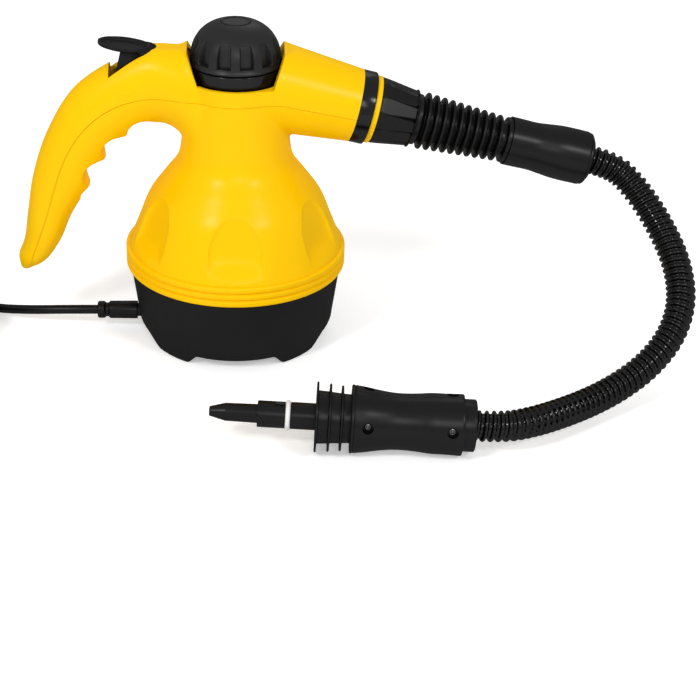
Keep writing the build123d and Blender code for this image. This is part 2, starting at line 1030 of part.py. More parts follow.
# Steam pipe from the valve, round the filler neck and on to the nose's axis
def outlet_pipe():
    end = on_nose(socket_back)
    lead = on_nose(socket_back - 6 * pipe_r)
    rise = (lead.Z - pipe_z) / (len(outlet_angles) + 1)
    points = [(-finger_x + valve_long / 2, pipe_side, pipe_z)]
    for i, angle in enumerate(outlet_angles):
        turn = radians(angle)
        points.append((outlet_round * cos(turn), outlet_round * sin(turn), pipe_z + (i + 1) * rise))
    points += [(lead.X, lead.Y, lead.Z), (end.X, end.Y, end.Z)]
    return pipe(points, [3 * pipe_r] * (len(outlet_angles) + 1))


def nozzle_socket():
    back = socket_back
    front = nose_end
    return nose * spin(
        [
            (pipe_bore_r, back),
            (socket_tube_r, back),
            (socket_tube_r, front - socket_spigot_long),
            (socket_spigot_r, front - socket_spigot_long),
            (socket_spigot_r, front),
            (socket_r, front),
            (socket_r, socket_end),
            (socket_bore_r, socket_end),
            (socket_bore_r, back + socket_back_wall),
            (pipe_bore_r, back + socket_back_wall),
        ],
        [0, 0, 0, 0, 0, gap, 4 * gap, 0, 0, 0],
    )


def marker_ring():
    return nose * ring(marker_r, plug_body_r, socket_end, marker_end)


# Its wedge-shaped flutes deepen towards the hose
def lock_sleeve():
    start = marker_end + gap / 2
    bore = plug_body_r + gap
    body = spin([(bore, start), (sleeve_start_r, start), (sleeve_end_r, sleeve_end), (bore, sleeve_end)])
    long = sleeve_end - start
    lean = degrees(atan2(sleeve_start_r - sleeve_end_r + flute_deep, long))
    groove = Pos(0, flute_deep, 0) * Box(flute_wide, 2 * flute_deep, 3 * long)
    for tool in around(Pos(0, sleeve_start_r, start) * Rot(lean, 0, 0) * groove, flute_count):
        body -= tool
    return nose * body


def adapter_plug():
    start = adapter_in
    shoulder = socket_end
    return nose * spin(
        [
            (adapter_bore_r, start),
            (socket_bore_r - gap, start),
            (socket_bore_r - gap, shoulder),
            (plug_body_r - gap, shoulder),
            (plug_body_r - gap, sleeve_end + gap / 2),
            (adapter_bore_r, sleeve_end + gap / 2),
        ]
    )


# Sleeve with round ribs; it thins from the lock sleeve to the grip
def bend_guard():
    start = sleeve_end + gap / 2
    lean = (guard_end_r - guard_start_r) / ((rib_count - 1) * rib_pitch)
    bore = inner_tube_r + gap / 3
    outline = [(bore, start), (guard_flange_r, start), (guard_flange_r, start + guard_flange_long)]
    for i in range(rib_count):
        place = rib_first + i * rib_pitch
        crest = guard_start_r + i * rib_pitch * lean
        root = crest - rib_deep
        half = rib_thick / 2
        outline += [(root, place - half), (crest, place - half / 2)]
        outline += [(crest, place + half / 2), (root, place + half)]
    last_r = guard_end_r - rib_deep
    outline += [(last_r, guard_end - guard_flange_long), (grip_start_r - wall, guard_end - guard_flange_long)]
    outline += [(grip_start_r - wall, guard_end), (inner_tube_r + gap / 3, guard_end)]
    return nose * spin(outline)


def hose_grip():
    middle = (guard_end + grip_end) / 2
    profile = Spline((grip_start_r, guard_end), (grip_waist_r, middle), (grip_end_r, grip_end))
    inner_start = grip_start_r - wall
    outline = profile + Polyline(
        (grip_end_r, grip_end),
        (grip_end_r - wall, grip_end),
        (inner_start - wall / 2, middle),
        (inner_start - wall / 2, guard_end + wall),
        (inner_tube_r + gap / 3, guard_end + wall),
        (inner_tube_r + gap / 3, guard_end),
        (grip_start_r, guard_end),
    )
    return nose * revolve(Plane.XZ * make_face(outline), Axis.Z)


def hose_collar():
    return nose * spin(
        [
            (inner_tube_r + gap / 3, grip_end),
            (grip_end_r, grip_end),
            (grip_end_r, (grip_end + collar_end) / 2),
            (collar_end_r, collar_end),
            (hose_bore_r, collar_end),
            (inner_tube_r + gap / 3, collar_end),
        ],
        [0, 0, gap, gap, 0, 0],
    )


def inner_tube():
    return nose * ring(inner_tube_r, inner_tube_bore_r, sleeve_end + gap / 2, collar_end)


# Frame of the handpiece: it rests on its first disc and on the end of its grip
hand_drop = asin((fin_radii[0] - hand_end_r) / (hand_grip_end - fin_places[0]))
hand_fin_z = fin_radii[0] / cos(hand_drop)
hand_tip_z = hand_fin_z + (fin_places[0] + fin_thick) * sin(hand_drop)
hand_way = Vector(
    cos(radians(hand_turn)) * cos(hand_drop),
    sin(radians(hand_turn)) * cos(hand_drop),
    -sin(hand_drop),
)
hand_side = Vector(-sin(radians(hand_turn)), cos(radians(hand_turn)), 0)
hand = Location(Plane((hand_tip_x, hand_tip_y, hand_tip_z), x_dir=hand_side, z_dir=hand_way))


def on_hand(distance):
    return Vector(hand_tip_x, hand_tip_y, hand_tip_z) + hand_way * distance


def steam_lance():
    body = spin(
        [
            (lance_bore_r, 0),
            (tip_r, 0),
            (stem_lance_r - gap, tip_long),
            (stem_lance_r, stem_end),
            (bayonet_r, stem_end),
            (bayonet_r, bayonet_end),
            (ring_core_r, bayonet_end),
            (ring_core_r, ring_end),
            (lance_r, ring_end),
            (lance_r, lance_end),
            (lance_bore_r, lance_end),
        ]
    )
    depth = bayonet_r - bayonet_slot_deep
    half = bayonet_slot_wide / 2
    slot = block(-half, half, depth, bayonet_r + overrun, bayonet_slot_from, bayonet_end + overrun)
    for tool in around(slot, 2, 90.0):
        body -= tool
    return hand * body


def lance_ring():
    mean = ring_core_r + ring_wire_r
    section = Pos(mean, (bayonet_end + ring_end) / 2) * Circle(ring_wire_r)
    return hand * revolve(Plane.XZ * section, Axis.Z)


def fin_guard():
    start = fin_places[0]
    inner = lance_r + gap / 3
    long = hand_grip_start - start
    outline = [(inner, start), (fin_radii[0], start), (fin_radii[0], start + fin_thick)]
    for place, radius in zip(fin_places[1:], fin_radii[1:]):
        hub = hub_start_r + (hub_end_r - hub_start_r) * (place - start) / long
        outline += [(hub, place), (radius, place), (radius, place + fin_thick), (hub, place + fin_thick)]
    first_hub = hub_start_r + (hub_end_r - hub_start_r) * fin_thick / long
    outline.insert(3, (first_hub, start + fin_thick))
    outline += [
        (hub_end_r, hand_grip_start),
        (hub_end_r - hub_wall, hand_grip_start),
        (hub_end_r - hub_wall, start + hub_wall),
        (inner, start + hub_wall),
    ]
    return hand * spin(outline)


def hand_screws(radius, inner, outer):
    found = []
    for place in (hand_screw_front, hand_screw_back):
        tool = Pos(0, 0, place) * Rot(0, 90, 0) * rod(radius, inner, outer)
        found += around(tool, hand_screw_count, hand_screw_turn)
    return found


def handpiece_grip():
    start = hand_grip_start
    profile = Spline(
        (hand_grip_r, start),
        (hand_waist_r, hand_waist),
        (hand_end_r - gap, (hand_waist + 2 * hand_grip_end) / 3),
        (hand_end_r, hand_grip_end),
    )
    end = hand_grip_end
    outline = profile + Polyline(
        (hand_end_r, end),
        (hand_collar_r - hand_wall, end),
        (hand_collar_r - hand_wall, end - hand_wall),
        (hand_waist_r - hand_wall, end - 2 * hand_wall),
        (hand_waist_r - hand_wall, start + hand_wall),
        (lance_r + gap / 3, start + hand_wall),
        (lance_r + gap / 3, start),
        (hand_grip_r, start),
    )
    body = revolve(Plane.XZ * make_face(outline), Axis.Z)
    for tool in hand_screws(hand_screw_r, hand_waist_r - hand_screw_sink, hand_grip_r + overrun):
        body -= tool
    for tool in hand_screws(screw_r + running_fit, core_r, hand_grip_r):
        body -= tool
    return hand * body


def handpiece_core():
    body = Part()
    for place in (hand_screw_front, hand_screw_back):
        body += ring(core_r + gap, lance_r + gap / 3, place - core_long / 2, place + core_long / 2)
    body += ring(lance_r + wall, lance_r + gap / 3, hand_screw_front, hand_screw_back)
    for tool in hand_screws(screw_r + running_fit, lance_r + wall, core_r + overrun):
        body -= tool
    return hand * body


def handpiece_screws():
    body = Part()
    seat = hand_waist_r - hand_screw_sink
    for tool in hand_screws(screw_r, lance_r + wall, seat):
        body += tool
    for tool in hand_screws(hand_screw_r - gap, seat, seat + hand_screw_sink / 2):
        body += tool
    return hand * body


def handpiece_collar():
    end = hand_long
    return hand * spin(
        [
            (hose_bore_r, lance_end + gap),
            (lance_r, lance_end + gap),
            (lance_r, hand_grip_end - hand_wall),
            (hand_collar_r - hand_wall - gap, hand_grip_end - hand_wall),
            (hand_collar_r - hand_wall - gap, hand_grip_end),
            (hand_collar_r, hand_grip_end),
            (hand_collar_r, end),
            (hose_bore_r, end),
        ],
        [0, 0, 0, 0, 0, 0, 2 * gap, 0],
    )


# Radii of a cord's bends: as large as the two runs beside each corner allow
def bend_radii(points):
    found = []
    for a, b, c in zip(points, points[1:], points[2:]):
        one = Vector(b) - Vector(a)
        two = Vector(c) - Vector(b)
        turn = radians(one.get_angle(two))
        found.append(0.45 * min(one.length, two.length) / tan(turn / 2))
    return found


def route_line(points, name):
    radii = bend_radii(points)
    line = FilletPolyline(*points, radius=radii)
    print(name, "length", round(line.length, 1), "radii", [round(r) for r in radii])
    return line


hose_start = on_nose(collar_end)
hose_out = on_nose(collar_end + hose_lead)
hose_back = on_hand(hand_long + hose_lead)
hose_end = on_hand(hand_long)
hose_route = [
    (hose_start.X, hose_start.Y, hose_start.Z),
    (hose_out.X, hose_out.Y, hose_out.Z),
    (270.1, -7.4, 115.0),
    (284.7, -23.7, 97.5),
    (295.7, -47.0, 78.1),
    (297.4, -69.8, 59.4),
    (288.5, -88.0, 42.2),
    (271.7, -101.6, 27.5),
    (250.6, -113.6, 17.6),
    (228.0, -127.9, 14.1),
    (205.6, -144.0, 15.4),
    (185.5, -157.8, 17.8),
    (hose_back.X, hose_back.Y, hose_back.Z),
    (hose_end.X, hose_end.Y, hose_end.Z),
]


# Ribbed hose: a ruled loft through four rings for each rib, bored along its length
def steam_hose():
    line = route_line(hose_route, "hose")
    first = Vector(*hose_route[4]) - Vector(*hose_route[0])
    second = Vector(*hose_route[-1]) - Vector(*hose_route[0])
    steady = first.cross(second).normalized()
    rings = []
    for i in range(hose_ribs):
        crest_end = rib_flank_share + rib_crest_share
        shares = (0, rib_flank_share, crest_end, crest_end + rib_flank_share)
        for share, radius in zip(shares, (hose_root_r, hose_r, hose_r, hose_root_r)):
            rings.append(ring_on(line, (i + share) / hose_ribs, radius, steady))
    rings.append(ring_on(line, 1, hose_root_r, steady))
    bore = sweep(ring_on(line, 0, hose_bore_r, steady), path=line)
    return loft(rings, ruled=True) - bore


def ring_on(line, place, radius, steady):
    way = line % place
    across = steady - way * steady.dot(way)
    return Plane(origin=line @ place, x_dir=across, z_dir=way) * Circle(radius)


# Stations of the coil at every quarter turn: point and direction
def coil_stations():
    found = []
    total = coil_layers * coil_turns * 4
    span = coil_turns * 4
    widest = coil_r_min + coil_pitch * coil_turns
    for k in range(total + 1):
        layer = min(k // span, coil_layers - 1)
        step = k - layer * span
        inward = layer % 2 == 0
        turned = step / 4
        radius = widest - coil_pitch * turned if inward else coil_r_min + coil_pitch * turned
        turning = k > 0 and step == 0
        rate = 0 if turning else (-coil_pitch if inward else coil_pitch) / (2 * pi)
        height = tie_thick + cord_r + layer * coil_layer
        climb = 0.0
        if turning:
            height -= coil_layer / 2
            climb = coil_layer / 2
        angle = pi / 2 + k * pi / 2
        out = Vector(cos(angle), sin(angle), 0)
        round_way = Vector(-sin(angle), cos(angle), 0)
        point = Vector(coil_x, coil_y, height) + out * radius
        way = (out * rate + round_way * radius + Vector(0, 0, climb)).normalized()
        found.append((point, way))
    return found


# Two arcs that join one station to the next without a kink
def joined_arcs(start, start_way, end, end_way):
    chord = end - start
    both = start_way + end_way
    a = both.dot(both) - 4
    b = -2 * chord.dot(both)
    c = chord.dot(chord)
    reach = (-b - sqrt(b * b - 4 * a * c)) / (2 * a)
    if reach < 0:
        reach = (-b + sqrt(b * b - 4 * a * c)) / (2 * a)
    middle = (start + start_way * reach + end - end_way * reach) * 0.5
    first = TangentArc(start, middle, tangent=start_way)
    return [first, TangentArc(middle, end, tangent=first % 1)]


def coil_line():
    stations = coil_stations()
    edges = []
    point, way = stations[0]
    edges.append(Line(point - way * 2 * cord_r, point))
    for (a, a_way), (b, b_way) in zip(stations, stations[1:]):
        edges += joined_arcs(a, a_way, b, b_way)
    point, way = stations[-1]
    edges.append(Line(point, point + way * 2 * cord_r))
    return Wire(edges)


def cord_coil():
    line = coil_line()
    count = coil_layers * coil_turns * 36
    points = [line @ (i / count) for i in range(count + 1)]
    step = line.length / count
    apart = int(8 * cord_r / step) + 1
    least = min(
        (points[i] - points[j]).length for i in range(len(points)) for j in range(i + apart, len(points))
    )
    print("coil length", round(line.length), "least gap to itself", round(least - 2 * cord_r, 2))
    section = Plane(origin=line @ 0, z_dir=line % 0) * RegularPolygon(cord_r, cord_sides)
    return sweep(section, path=line)


coil_in, coil_in_way = coil_stations()[0]
coil_start = coil_in - coil_in_way * 2 * cord_r
coil_out, coil_out_way = coil_stations()[-1]
coil_end = coil_out + coil_out_way * 2 * cord_r

cord_route = [
    (-relief_end, 0.0, cord_z),
    (-relief_end - 24.0, 1.0, cord_z - 0.6),
    (-relief_end - 48.0, 6.0, 9.5),
    (-relief_end - 74.0, 17.0, 4.6),
    (coil_start.X + 26.0, coil_start.Y, coil_start.Z),
    (coil_start.X, coil_start.Y, coil_start.Z),
]
tail_route = [
    (coil_end.X, coil_end.Y, coil_end.Z),
    (coil_end.X - 24.0, coil_end.Y + 1.5, coil_end.Z - 0.6),
    (coil_end.X - 50.0, coil_end.Y + 6.0, plug_r + 1.0),
    (coil_end.X - 77.0, coil_end.Y + 13.0, plug_r),
    (coil_end.X - 98.0, coil_end.Y + 20.0, plug_r),
]


def power_cord():
    line = route_line(cord_route, "cord")
    return sweep(Plane(origin=line @ 0, z_dir=line % 0) * Circle(cord_r), path=line)


def cord_tail():
    line = route_line(tail_route, "tail")
    return sweep(Plane(origin=line @ 0, z_dir=line % 0) * Circle(cord_r), path=line)


plug_way = (Vector(*tail_route[-1]) - Vector(*tail_route[-2])).normalized()
plug_place = Location(Plane(Vector(*tail_route[-1]), x_dir=(plug_way.Y, -plug_way.X, 0), z_dir=plug_way))


def plug_body():
    neck = plug_neck_long
    end = neck + plug_long
    body = spin(
        [
            (0, 0),
            (plug_neck_r - wall, 0),
            (plug_neck_r, neck),
            (plug_r - wall, neck + wall),
            (plug_r, end - plug_long / 3),
            (plug_r, end),
            (0, end),
        ],
        [0, gap, wall, wall, wall, gap, 0],
    )
    for side in (-1, 1):
        body -= Pos(side * plug_pin_pitch / 2, 0, 0) * rod(plug_pin_r, end - plug_long / 3, end + overrun)
    return plug_place * body


def plug_pins():
    end = plug_neck_long + plug_long
    body = Part()
    for side in (-1, 1):
        pin = rod(plug_pin_r, end - plug_long / 3, end + plug_pin_long)
        body += Pos(side * plug_pin_pitch / 2, 0, 0) * pin
    return plug_place * body


def cord_tie():
    inner = coil_r_min - cord_r - gap
    outer = coil_r_min + coil_pitch * coil_turns + cord_r + gap
    high = tie_thick + 2 * cord_r + (coil_layers - 1) * coil_layer
    band = block(inner - tie_thick, outer + tie_thick, -tie_wide / 2, tie_wide / 2, 0, high + tie_thick)
    hole = block(inner, outer, -tie_wide, tie_wide, tie_thick, high)
    return Pos(coil_x, coil_y, 0) * Rot(0, 0, 45) * (band - hole)


def save(name, piece):
    export_step(piece, "parts/" + name + ".step")


upper_housing, lower_housing = casings()
save("upper_housing", upper_housing)
save("lower_housing", lower_housing)
makers = [
    base_bowl, base_screws, boiler_cup, boiler_gasket, boiler_dome, boiler_bolts, heater_coil, heater_clamp,
    terminal_block, cord_clamp, inner_lead, strain_relief, filler_neck, filler_collar, cap_shell, cap_inset,
    cap_plug, cap_seal, relief_disc, relief_spring, trigger_lever, trigger_pin, trigger_spring, steam_valve,
    valve_stem, valve_spring, inlet_pipe, outlet_pipe, nozzle_socket, marker_ring, lock_sleeve, adapter_plug,
    bend_guard, hose_grip, hose_collar, inner_tube, steam_lance, lance_ring, fin_guard, handpiece_grip,
    handpiece_core, handpiece_screws, handpiece_collar, steam_hose, power_cord, cord_coil, cord_tail,
    plug_body, plug_pins, cord_tie,
]
for maker in makers:
    save(maker.__name__, maker())
save("thermostat", switch_can(1))
save("thermal_cutout", switch_can(-1))
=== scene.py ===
import json
import math

import bmesh
import bpy
import numpy as np
from mathutils import Matrix


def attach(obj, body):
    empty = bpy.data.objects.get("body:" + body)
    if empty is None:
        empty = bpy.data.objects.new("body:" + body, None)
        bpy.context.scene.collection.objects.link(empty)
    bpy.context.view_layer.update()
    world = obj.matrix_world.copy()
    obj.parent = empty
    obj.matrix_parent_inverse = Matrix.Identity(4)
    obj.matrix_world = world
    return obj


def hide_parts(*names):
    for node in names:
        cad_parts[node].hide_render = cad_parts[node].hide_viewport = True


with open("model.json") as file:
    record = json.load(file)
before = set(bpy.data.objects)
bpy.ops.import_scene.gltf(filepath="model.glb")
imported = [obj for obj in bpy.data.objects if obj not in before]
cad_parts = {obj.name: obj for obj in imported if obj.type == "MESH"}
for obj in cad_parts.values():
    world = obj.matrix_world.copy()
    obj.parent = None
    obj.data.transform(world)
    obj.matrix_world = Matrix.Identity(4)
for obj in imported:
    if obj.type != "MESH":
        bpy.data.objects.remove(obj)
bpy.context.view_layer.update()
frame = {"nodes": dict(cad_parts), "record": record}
nodes = frame["nodes"]
mm = 0.001
print("frame loaded:", len(nodes), "nodes")

# ---- camera and stage

cameraPlan = {"place": (0.008, -1.00126, 0.54418), "yaw": 0.0734469, "down": 0.5113385, "roll": 0.038209, "lens": 82.286}


# Looks along a direction given by its turn from +Y and its dip, then rolls about it
def makeCamera(plan):
    yaw, down, roll = plan["yaw"], plan["down"], plan["roll"]
    ahead = np.array([math.sin(yaw) * math.cos(down), math.cos(yaw) * math.cos(down), -math.sin(down)])
    right = np.array([math.cos(yaw), -math.sin(yaw), 0.0])
    above = np.cross(right, ahead)
    sideways = math.cos(roll) * right + math.sin(roll) * above
    upwards = math.cos(roll) * above - math.sin(roll) * right
    data = bpy.data.cameras.new("camera")
    data.lens, data.sensor_width = plan["lens"], 36.0
    data.clip_start, data.clip_end = 0.05, 50.0
    camera = bpy.data.objects.new("camera", data)
    turn = Matrix([list(row) for row in np.column_stack([sideways, upwards, -ahead])])
    camera.matrix_world = Matrix.Translation(plan["place"]) @ turn.to_4x4()
    bpy.context.scene.collection.objects.link(camera)
    bpy.context.scene.camera = camera


makeCamera(cameraPlan)
bpy.context.scene.view_settings.view_transform = "Standard"
stagePlan = {"half": 6.0, "world": 0.46, "floor": (0.93, 0.93, 0.93), "lift": 0.38}


# One for a ray that comes from the camera, a gloss or a glass, and nothing for the rays that carry light
def seenRays(tree):
    rays = tree.nodes.new("ShaderNodeLightPath")
    found = rays.outputs["Is Camera Ray"]
    for kind in ("Is Glossy Ray", "Is Transmission Ray"):
        either = tree.nodes.new("ShaderNodeMath")
        either.operation = "MAXIMUM"
        tree.links.new(found, either.inputs[0])
        tree.links.new(rays.outputs[kind], either.inputs[1])
        found = either.outputs[0]
    return found


# A level for light, and plain white for what is seen
def whiteWorld(strength):
    world = bpy.data.worlds.new("studio")
    bpy.context.scene.world = world
    world.use_nodes = True
    tree = world.node_tree
    tree.nodes.clear()
    out = tree.nodes.new("ShaderNodeOutputWorld")
    mix = tree.nodes.new("ShaderNodeMixShader")
    for socket, level in ((1, strength), (2, 1.0)):
        sky = tree.nodes.new("ShaderNodeBackground")
        sky.inputs["Strength"].default_value = level
        sky.inputs["Color"].default_value = (1, 1, 1, 1)
        tree.links.new(sky.outputs[0], mix.inputs[socket])
    tree.links.new(seenRays(tree), mix.inputs["Fac"])
    tree.links.new(mix.outputs[0], out.inputs["Surface"])


whiteWorld(stagePlan["world"])


# Pale floor that keeps the shadow, lifted a little to white where it is seen
def makeFloor(plan):
    half = plan["half"]
    mesh = bpy.data.meshes.new("floor")
    mesh.from_pydata([(-half, -half, 0), (half, -half, 0), (half, half, 0), (-half, half, 0)], [], [(0, 1, 2, 3)])
    floor = bpy.data.objects.new("floor", mesh)
    bpy.context.scene.collection.objects.link(floor)
    material = bpy.data.materials.new("paleFloor")
    material.use_nodes = True
    tree = material.node_tree
    shader = tree.nodes["Principled BSDF"]
    shader.inputs["Base Color"].default_value = (*plan["floor"], 1)
    shader.inputs["Roughness"].default_value = 0.9
    shader.inputs["Specular IOR Level"].default_value = 0.0
    lifted = tree.nodes.new("ShaderNodeMath")
    lifted.operation = "MULTIPLY"
    lifted.inputs[1].default_value = plan["lift"]
    tree.links.new(seenRays(tree), lifted.inputs[0])
    tree.links.new(lifted.outputs[0], shader.inputs["Emission Strength"])
    shader.inputs["Emission Color"].default_value = (1, 1, 1, 1)
    mesh.materials.append(material)


makeFloor(stagePlan)

lampPlans = {
    "keyLamp": {"place": (-0.9, -1.2, 1.35), "aim": (0.02, -0.02, 0.1), "size": 0.30, "power": 12.0},
    "sideLamp": {"place": (0.95, -1.2, 1.3), "aim": (0.05, 0.0, 0.1), "size": 0.30, "power": 8.0},
    "frontLamp": {"place": (0.2, -1.6, 1.0), "aim": (0.08, -0.05, 0.08), "size": 0.5, "power": 5.0},
    "backLamp": {"place": (0.2, 1.3, 1.2), "aim": (0.0, 0.0, 0.12), "size": 0.8, "power": 4.5},
}


def makeLamp(name, plan):
    data = bpy.data.lights.new(name, "AREA")
    data.size, data.energy = plan["size"], plan["power"]
    lamp = bpy.data.objects.new(name, data)
    back = np.array(plan["place"]) - np.array(plan["aim"])
    back /= np.linalg.norm(back)
    side = np.cross([0.0, 0.0, 1.0], back)
    side /= np.linalg.norm(side)
    turn = Matrix([list(row) for row in np.column_stack([side, np.cross(back, side), back])])
    lamp.matrix_world = Matrix.Translation(plan["place"]) @ turn.to_4x4()
    bpy.context.scene.collection.objects.link(lamp)


for lampName, lampPlan in lampPlans.items():
    makeLamp(lampName, lampPlan)
print("camera, floor and lamps are set")

# ---- materials

finishes = {
    "yellowShell": {"colour": (0.985, 0.565, 0.0012), "rough": 0.27, "grain": 0.04, "fine": 1400, "drift": 0.015, "coat": 0.05},
    "blackShell": {"colour": (0.009, 0.009, 0.0095), "rough": 0.44, "grain": 0.10, "fine": 1500, "drift": 0.10, "coat": 0.05},
    "capBlack": {"colour": (0.010, 0.010, 0.0105), "rough": 0.36, "grain": 0.10, "fine": 1800, "drift": 0.08, "coat": 0.12},
    "leverBlack": {"colour": (0.009, 0.009, 0.010), "rough": 0.34, "grain": 0.10, "fine": 1800, "drift": 0.08, "coat": 0.05},
    "collarBlack": {"colour": (0.002, 0.002, 0.003), "rough": 0.16, "grain": 0.02, "fine": 1800, "drift": 0.06, "coat": 0.12},
    "gripBlack": {"colour": (0.003, 0.003, 0.0035), "rough": 0.30, "grain": 0.05, "fine": 1600, "drift": 0.10, "coat": 0.09},
    "hoseBlack": {"colour": (0.0008, 0.0008, 0.0012), "rough": 0.12, "grain": 0.02, "fine": 900, "drift": 0.06, "coat": 0.12},
    "cordBlack": {"colour": (0.003, 0.003, 0.0035), "rough": 0.30, "grain": 0.05, "fine": 1100, "drift": 0.08, "coat": 0.08},
    "ringWhite": {"colour": (0.82, 0.82, 0.80), "rough": 0.35, "grain": 0.03, "fine": 1200, "drift": 0.04, "coat": 0.12},
    "sealRed": {"colour": (0.42, 0.05, 0.03), "rough": 0.55, "grain": 0.06, "fine": 900, "drift": 0.10, "coat": 0.06},
    "tubeClear": {"colour": (0.70, 0.70, 0.66), "rough": 0.40, "grain": 0.03, "fine": 800, "drift": 0.06, "coat": 0.12},
}
metals = {
    "castAluminium": {"colour": (0.60, 0.61, 0.62), "rough": 0.42, "grain": 0.20, "fine": 700},
    "turnedBrass": {"colour": (0.62, 0.43, 0.16), "rough": 0.26, "grain": 0.05, "fine": 500},
    "brightSteel": {"colour": (0.62, 0.62, 0.63), "rough": 0.22, "grain": 0.04, "fine": 900},
    "darkSteel": {"colour": (0.10, 0.10, 0.105), "rough": 0.24, "grain": 0.06, "fine": 900},
}


# Moulded plastic or metal: a broad noise drifts colour and gloss a little, a fine one makes the
# grain as a bump, both on Object coordinates
def makeFinish(name, plan, metal):
    material = bpy.data.materials.new(name)
    material.use_nodes = True
    tree = material.node_tree
    shader = tree.nodes["Principled BSDF"]
    place = tree.nodes.new("ShaderNodeTexCoord")
    broad = tree.nodes.new("ShaderNodeTexNoise")
    broad.inputs["Scale"].default_value = 22.0
    broad.inputs["Detail"].default_value = 3.0
    fine = tree.nodes.new("ShaderNodeTexNoise")
    fine.inputs["Scale"].default_value = plan["fine"]
    fine.inputs["Detail"].default_value = 2.0
    gloss = tree.nodes.new("ShaderNodeMapRange")
    gloss.inputs["To Min"].default_value = plan["rough"] - 0.05
    gloss.inputs["To Max"].default_value = plan["rough"] + 0.05
    ramp = tree.nodes.new("ShaderNodeValToRGB")
    drift = plan.get("drift", 0.08)
    dark = [c * (1 - drift) for c in plan["colour"]]
    light = [min(1.0, c * (1 + drift)) for c in plan["colour"]]
    ramp.color_ramp.elements[0].color = (*dark, 1)
    ramp.color_ramp.elements[0].position = 0.3
    ramp.color_ramp.elements[1].color = (*light, 1)
    ramp.color_ramp.elements[1].position = 0.7
    bump = tree.nodes.new("ShaderNodeBump")
    bump.inputs["Strength"].default_value = plan["grain"]
    bump.inputs["Distance"].default_value = 0.0002
    for noise in (broad, fine):
        tree.links.new(place.outputs["Object"], noise.inputs["Vector"])
    tree.links.new(broad.outputs["Fac"], gloss.inputs["Value"])
    tree.links.new(broad.outputs["Fac"], ramp.inputs["Fac"])
    tree.links.new(fine.outputs["Fac"], bump.inputs["Height"])
    tree.links.new(gloss.outputs["Result"], shader.inputs["Roughness"])
    tree.links.new(ramp.outputs["Color"], shader.inputs["Base Color"])
    tree.links.new(bump.outputs["Normal"], shader.inputs["Normal"])
    shader.inputs["Metallic"].default_value = 1.0 if metal else 0.0
    if not metal:
        # a thin even coat mirrors the lamps without the white veil that a surface's own gloss has at its edges
        shader.inputs["Specular IOR Level"].default_value = 0.0
        shader.inputs["Coat Weight"].default_value = plan["coat"]
        shader.inputs["Coat IOR"].default_value = 2.2
        shader.inputs["Coat Roughness"].default_value = plan["rough"]
        tree.links.new(bump.outputs["Normal"], shader.inputs["Coat Normal"])
    return material


materials = {name: makeFinish(name, plan, False) for name, plan in finishes.items()}
materials.update({name: makeFinish(name, plan, True) for name, plan in metals.items()})

slotFinish = {
    "yellow_shell": "yellowShell", "black_shell": "blackShell", "black_cap": "capBlack", "black_rubber": "cordBlack",
    "hose_plastic": "hoseBlack", "white_plastic": "ringWhite", "aluminium": "castAluminium", "brass": "turnedBrass",
    "steel": "brightSteel", "seal": "sealRed", "clear_tube": "tubeClear",
}
slotOf = {entry["node"]: entry["material_slot"] for entry in frame["record"]["subparts"]}
bodyOf = {node: body for body, group in frame["record"]["behaviour"]["bodies"].items() for node in group}
nodeFinish = {"handpiece_screws": "darkSteel"}
for nodeName, node in nodes.items():
    node.data.materials.clear()
    node.data.materials.append(materials[nodeFinish.get(nodeName, slotFinish[slotOf[nodeName]])])
print("materials are made:", len(materials))

# ---- tools for surfaces


# Mesh of a grid of points, rows by columns; the columns close round, the rows where asked
def gridMesh(name, points, closedRows=False):
    rows, columns = points.shape[:2]
    lastRow = rows if closedRows else rows - 1
    i, j = np.meshgrid(np.arange(lastRow), np.arange(columns), indexing="ij")
    down, along = (i + 1) % rows, (j + 1) % columns
    quads = np.stack([i * columns + j, i * columns + along, down * columns + along, down * columns + j], axis=-1)
    quads = quads.reshape(-1, 4).astype(np.int32)
    mesh = bpy.data.meshes.new(name)
    mesh.vertices.add(rows * columns)
    mesh.vertices.foreach_set("co", points.reshape(-1).astype(np.float32))
    mesh.loops.add(quads.size)
    mesh.loops.foreach_set("vertex_index", quads.reshape(-1))
    mesh.polygons.add(len(quads))
    mesh.polygons.foreach_set("loop_start", np.arange(0, quads.size, 4, dtype=np.int32))
    mesh.update(calc_edges=True)
    tidy = bmesh.new()
    tidy.from_mesh(mesh)
    bmesh.ops.remove_doubles(tidy, verts=tidy.verts, dist=1e-7)
    bmesh.ops.dissolve_degenerate(tidy, edges=tidy.edges, dist=1e-8)
    bmesh.ops.recalc_face_normals(tidy, faces=tidy.faces)
    tidy.to_mesh(mesh)
    tidy.free()
    return mesh


def makeObject(name, mesh):
    piece = bpy.data.objects.new(name, mesh)
    bpy.context.scene.collection.objects.link(piece)
    return piece


# Smooth faces, with edges over the angle kept sharp
def shade(piece, angle=32.0):
    mesh = piece.data
    mesh.polygons.foreach_set("use_smooth", np.ones(len(mesh.polygons), dtype=bool))
    mesh.set_sharp_from_angle(angle=math.radians(angle))


def dress(piece, finish, replaced, angle=32.0):
    shade(piece, angle)
    piece.data.materials.clear()
    piece.data.materials.append(materials[finish])
    first = replaced[0]
    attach(piece, bodyOf[first])
    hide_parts(*replaced)


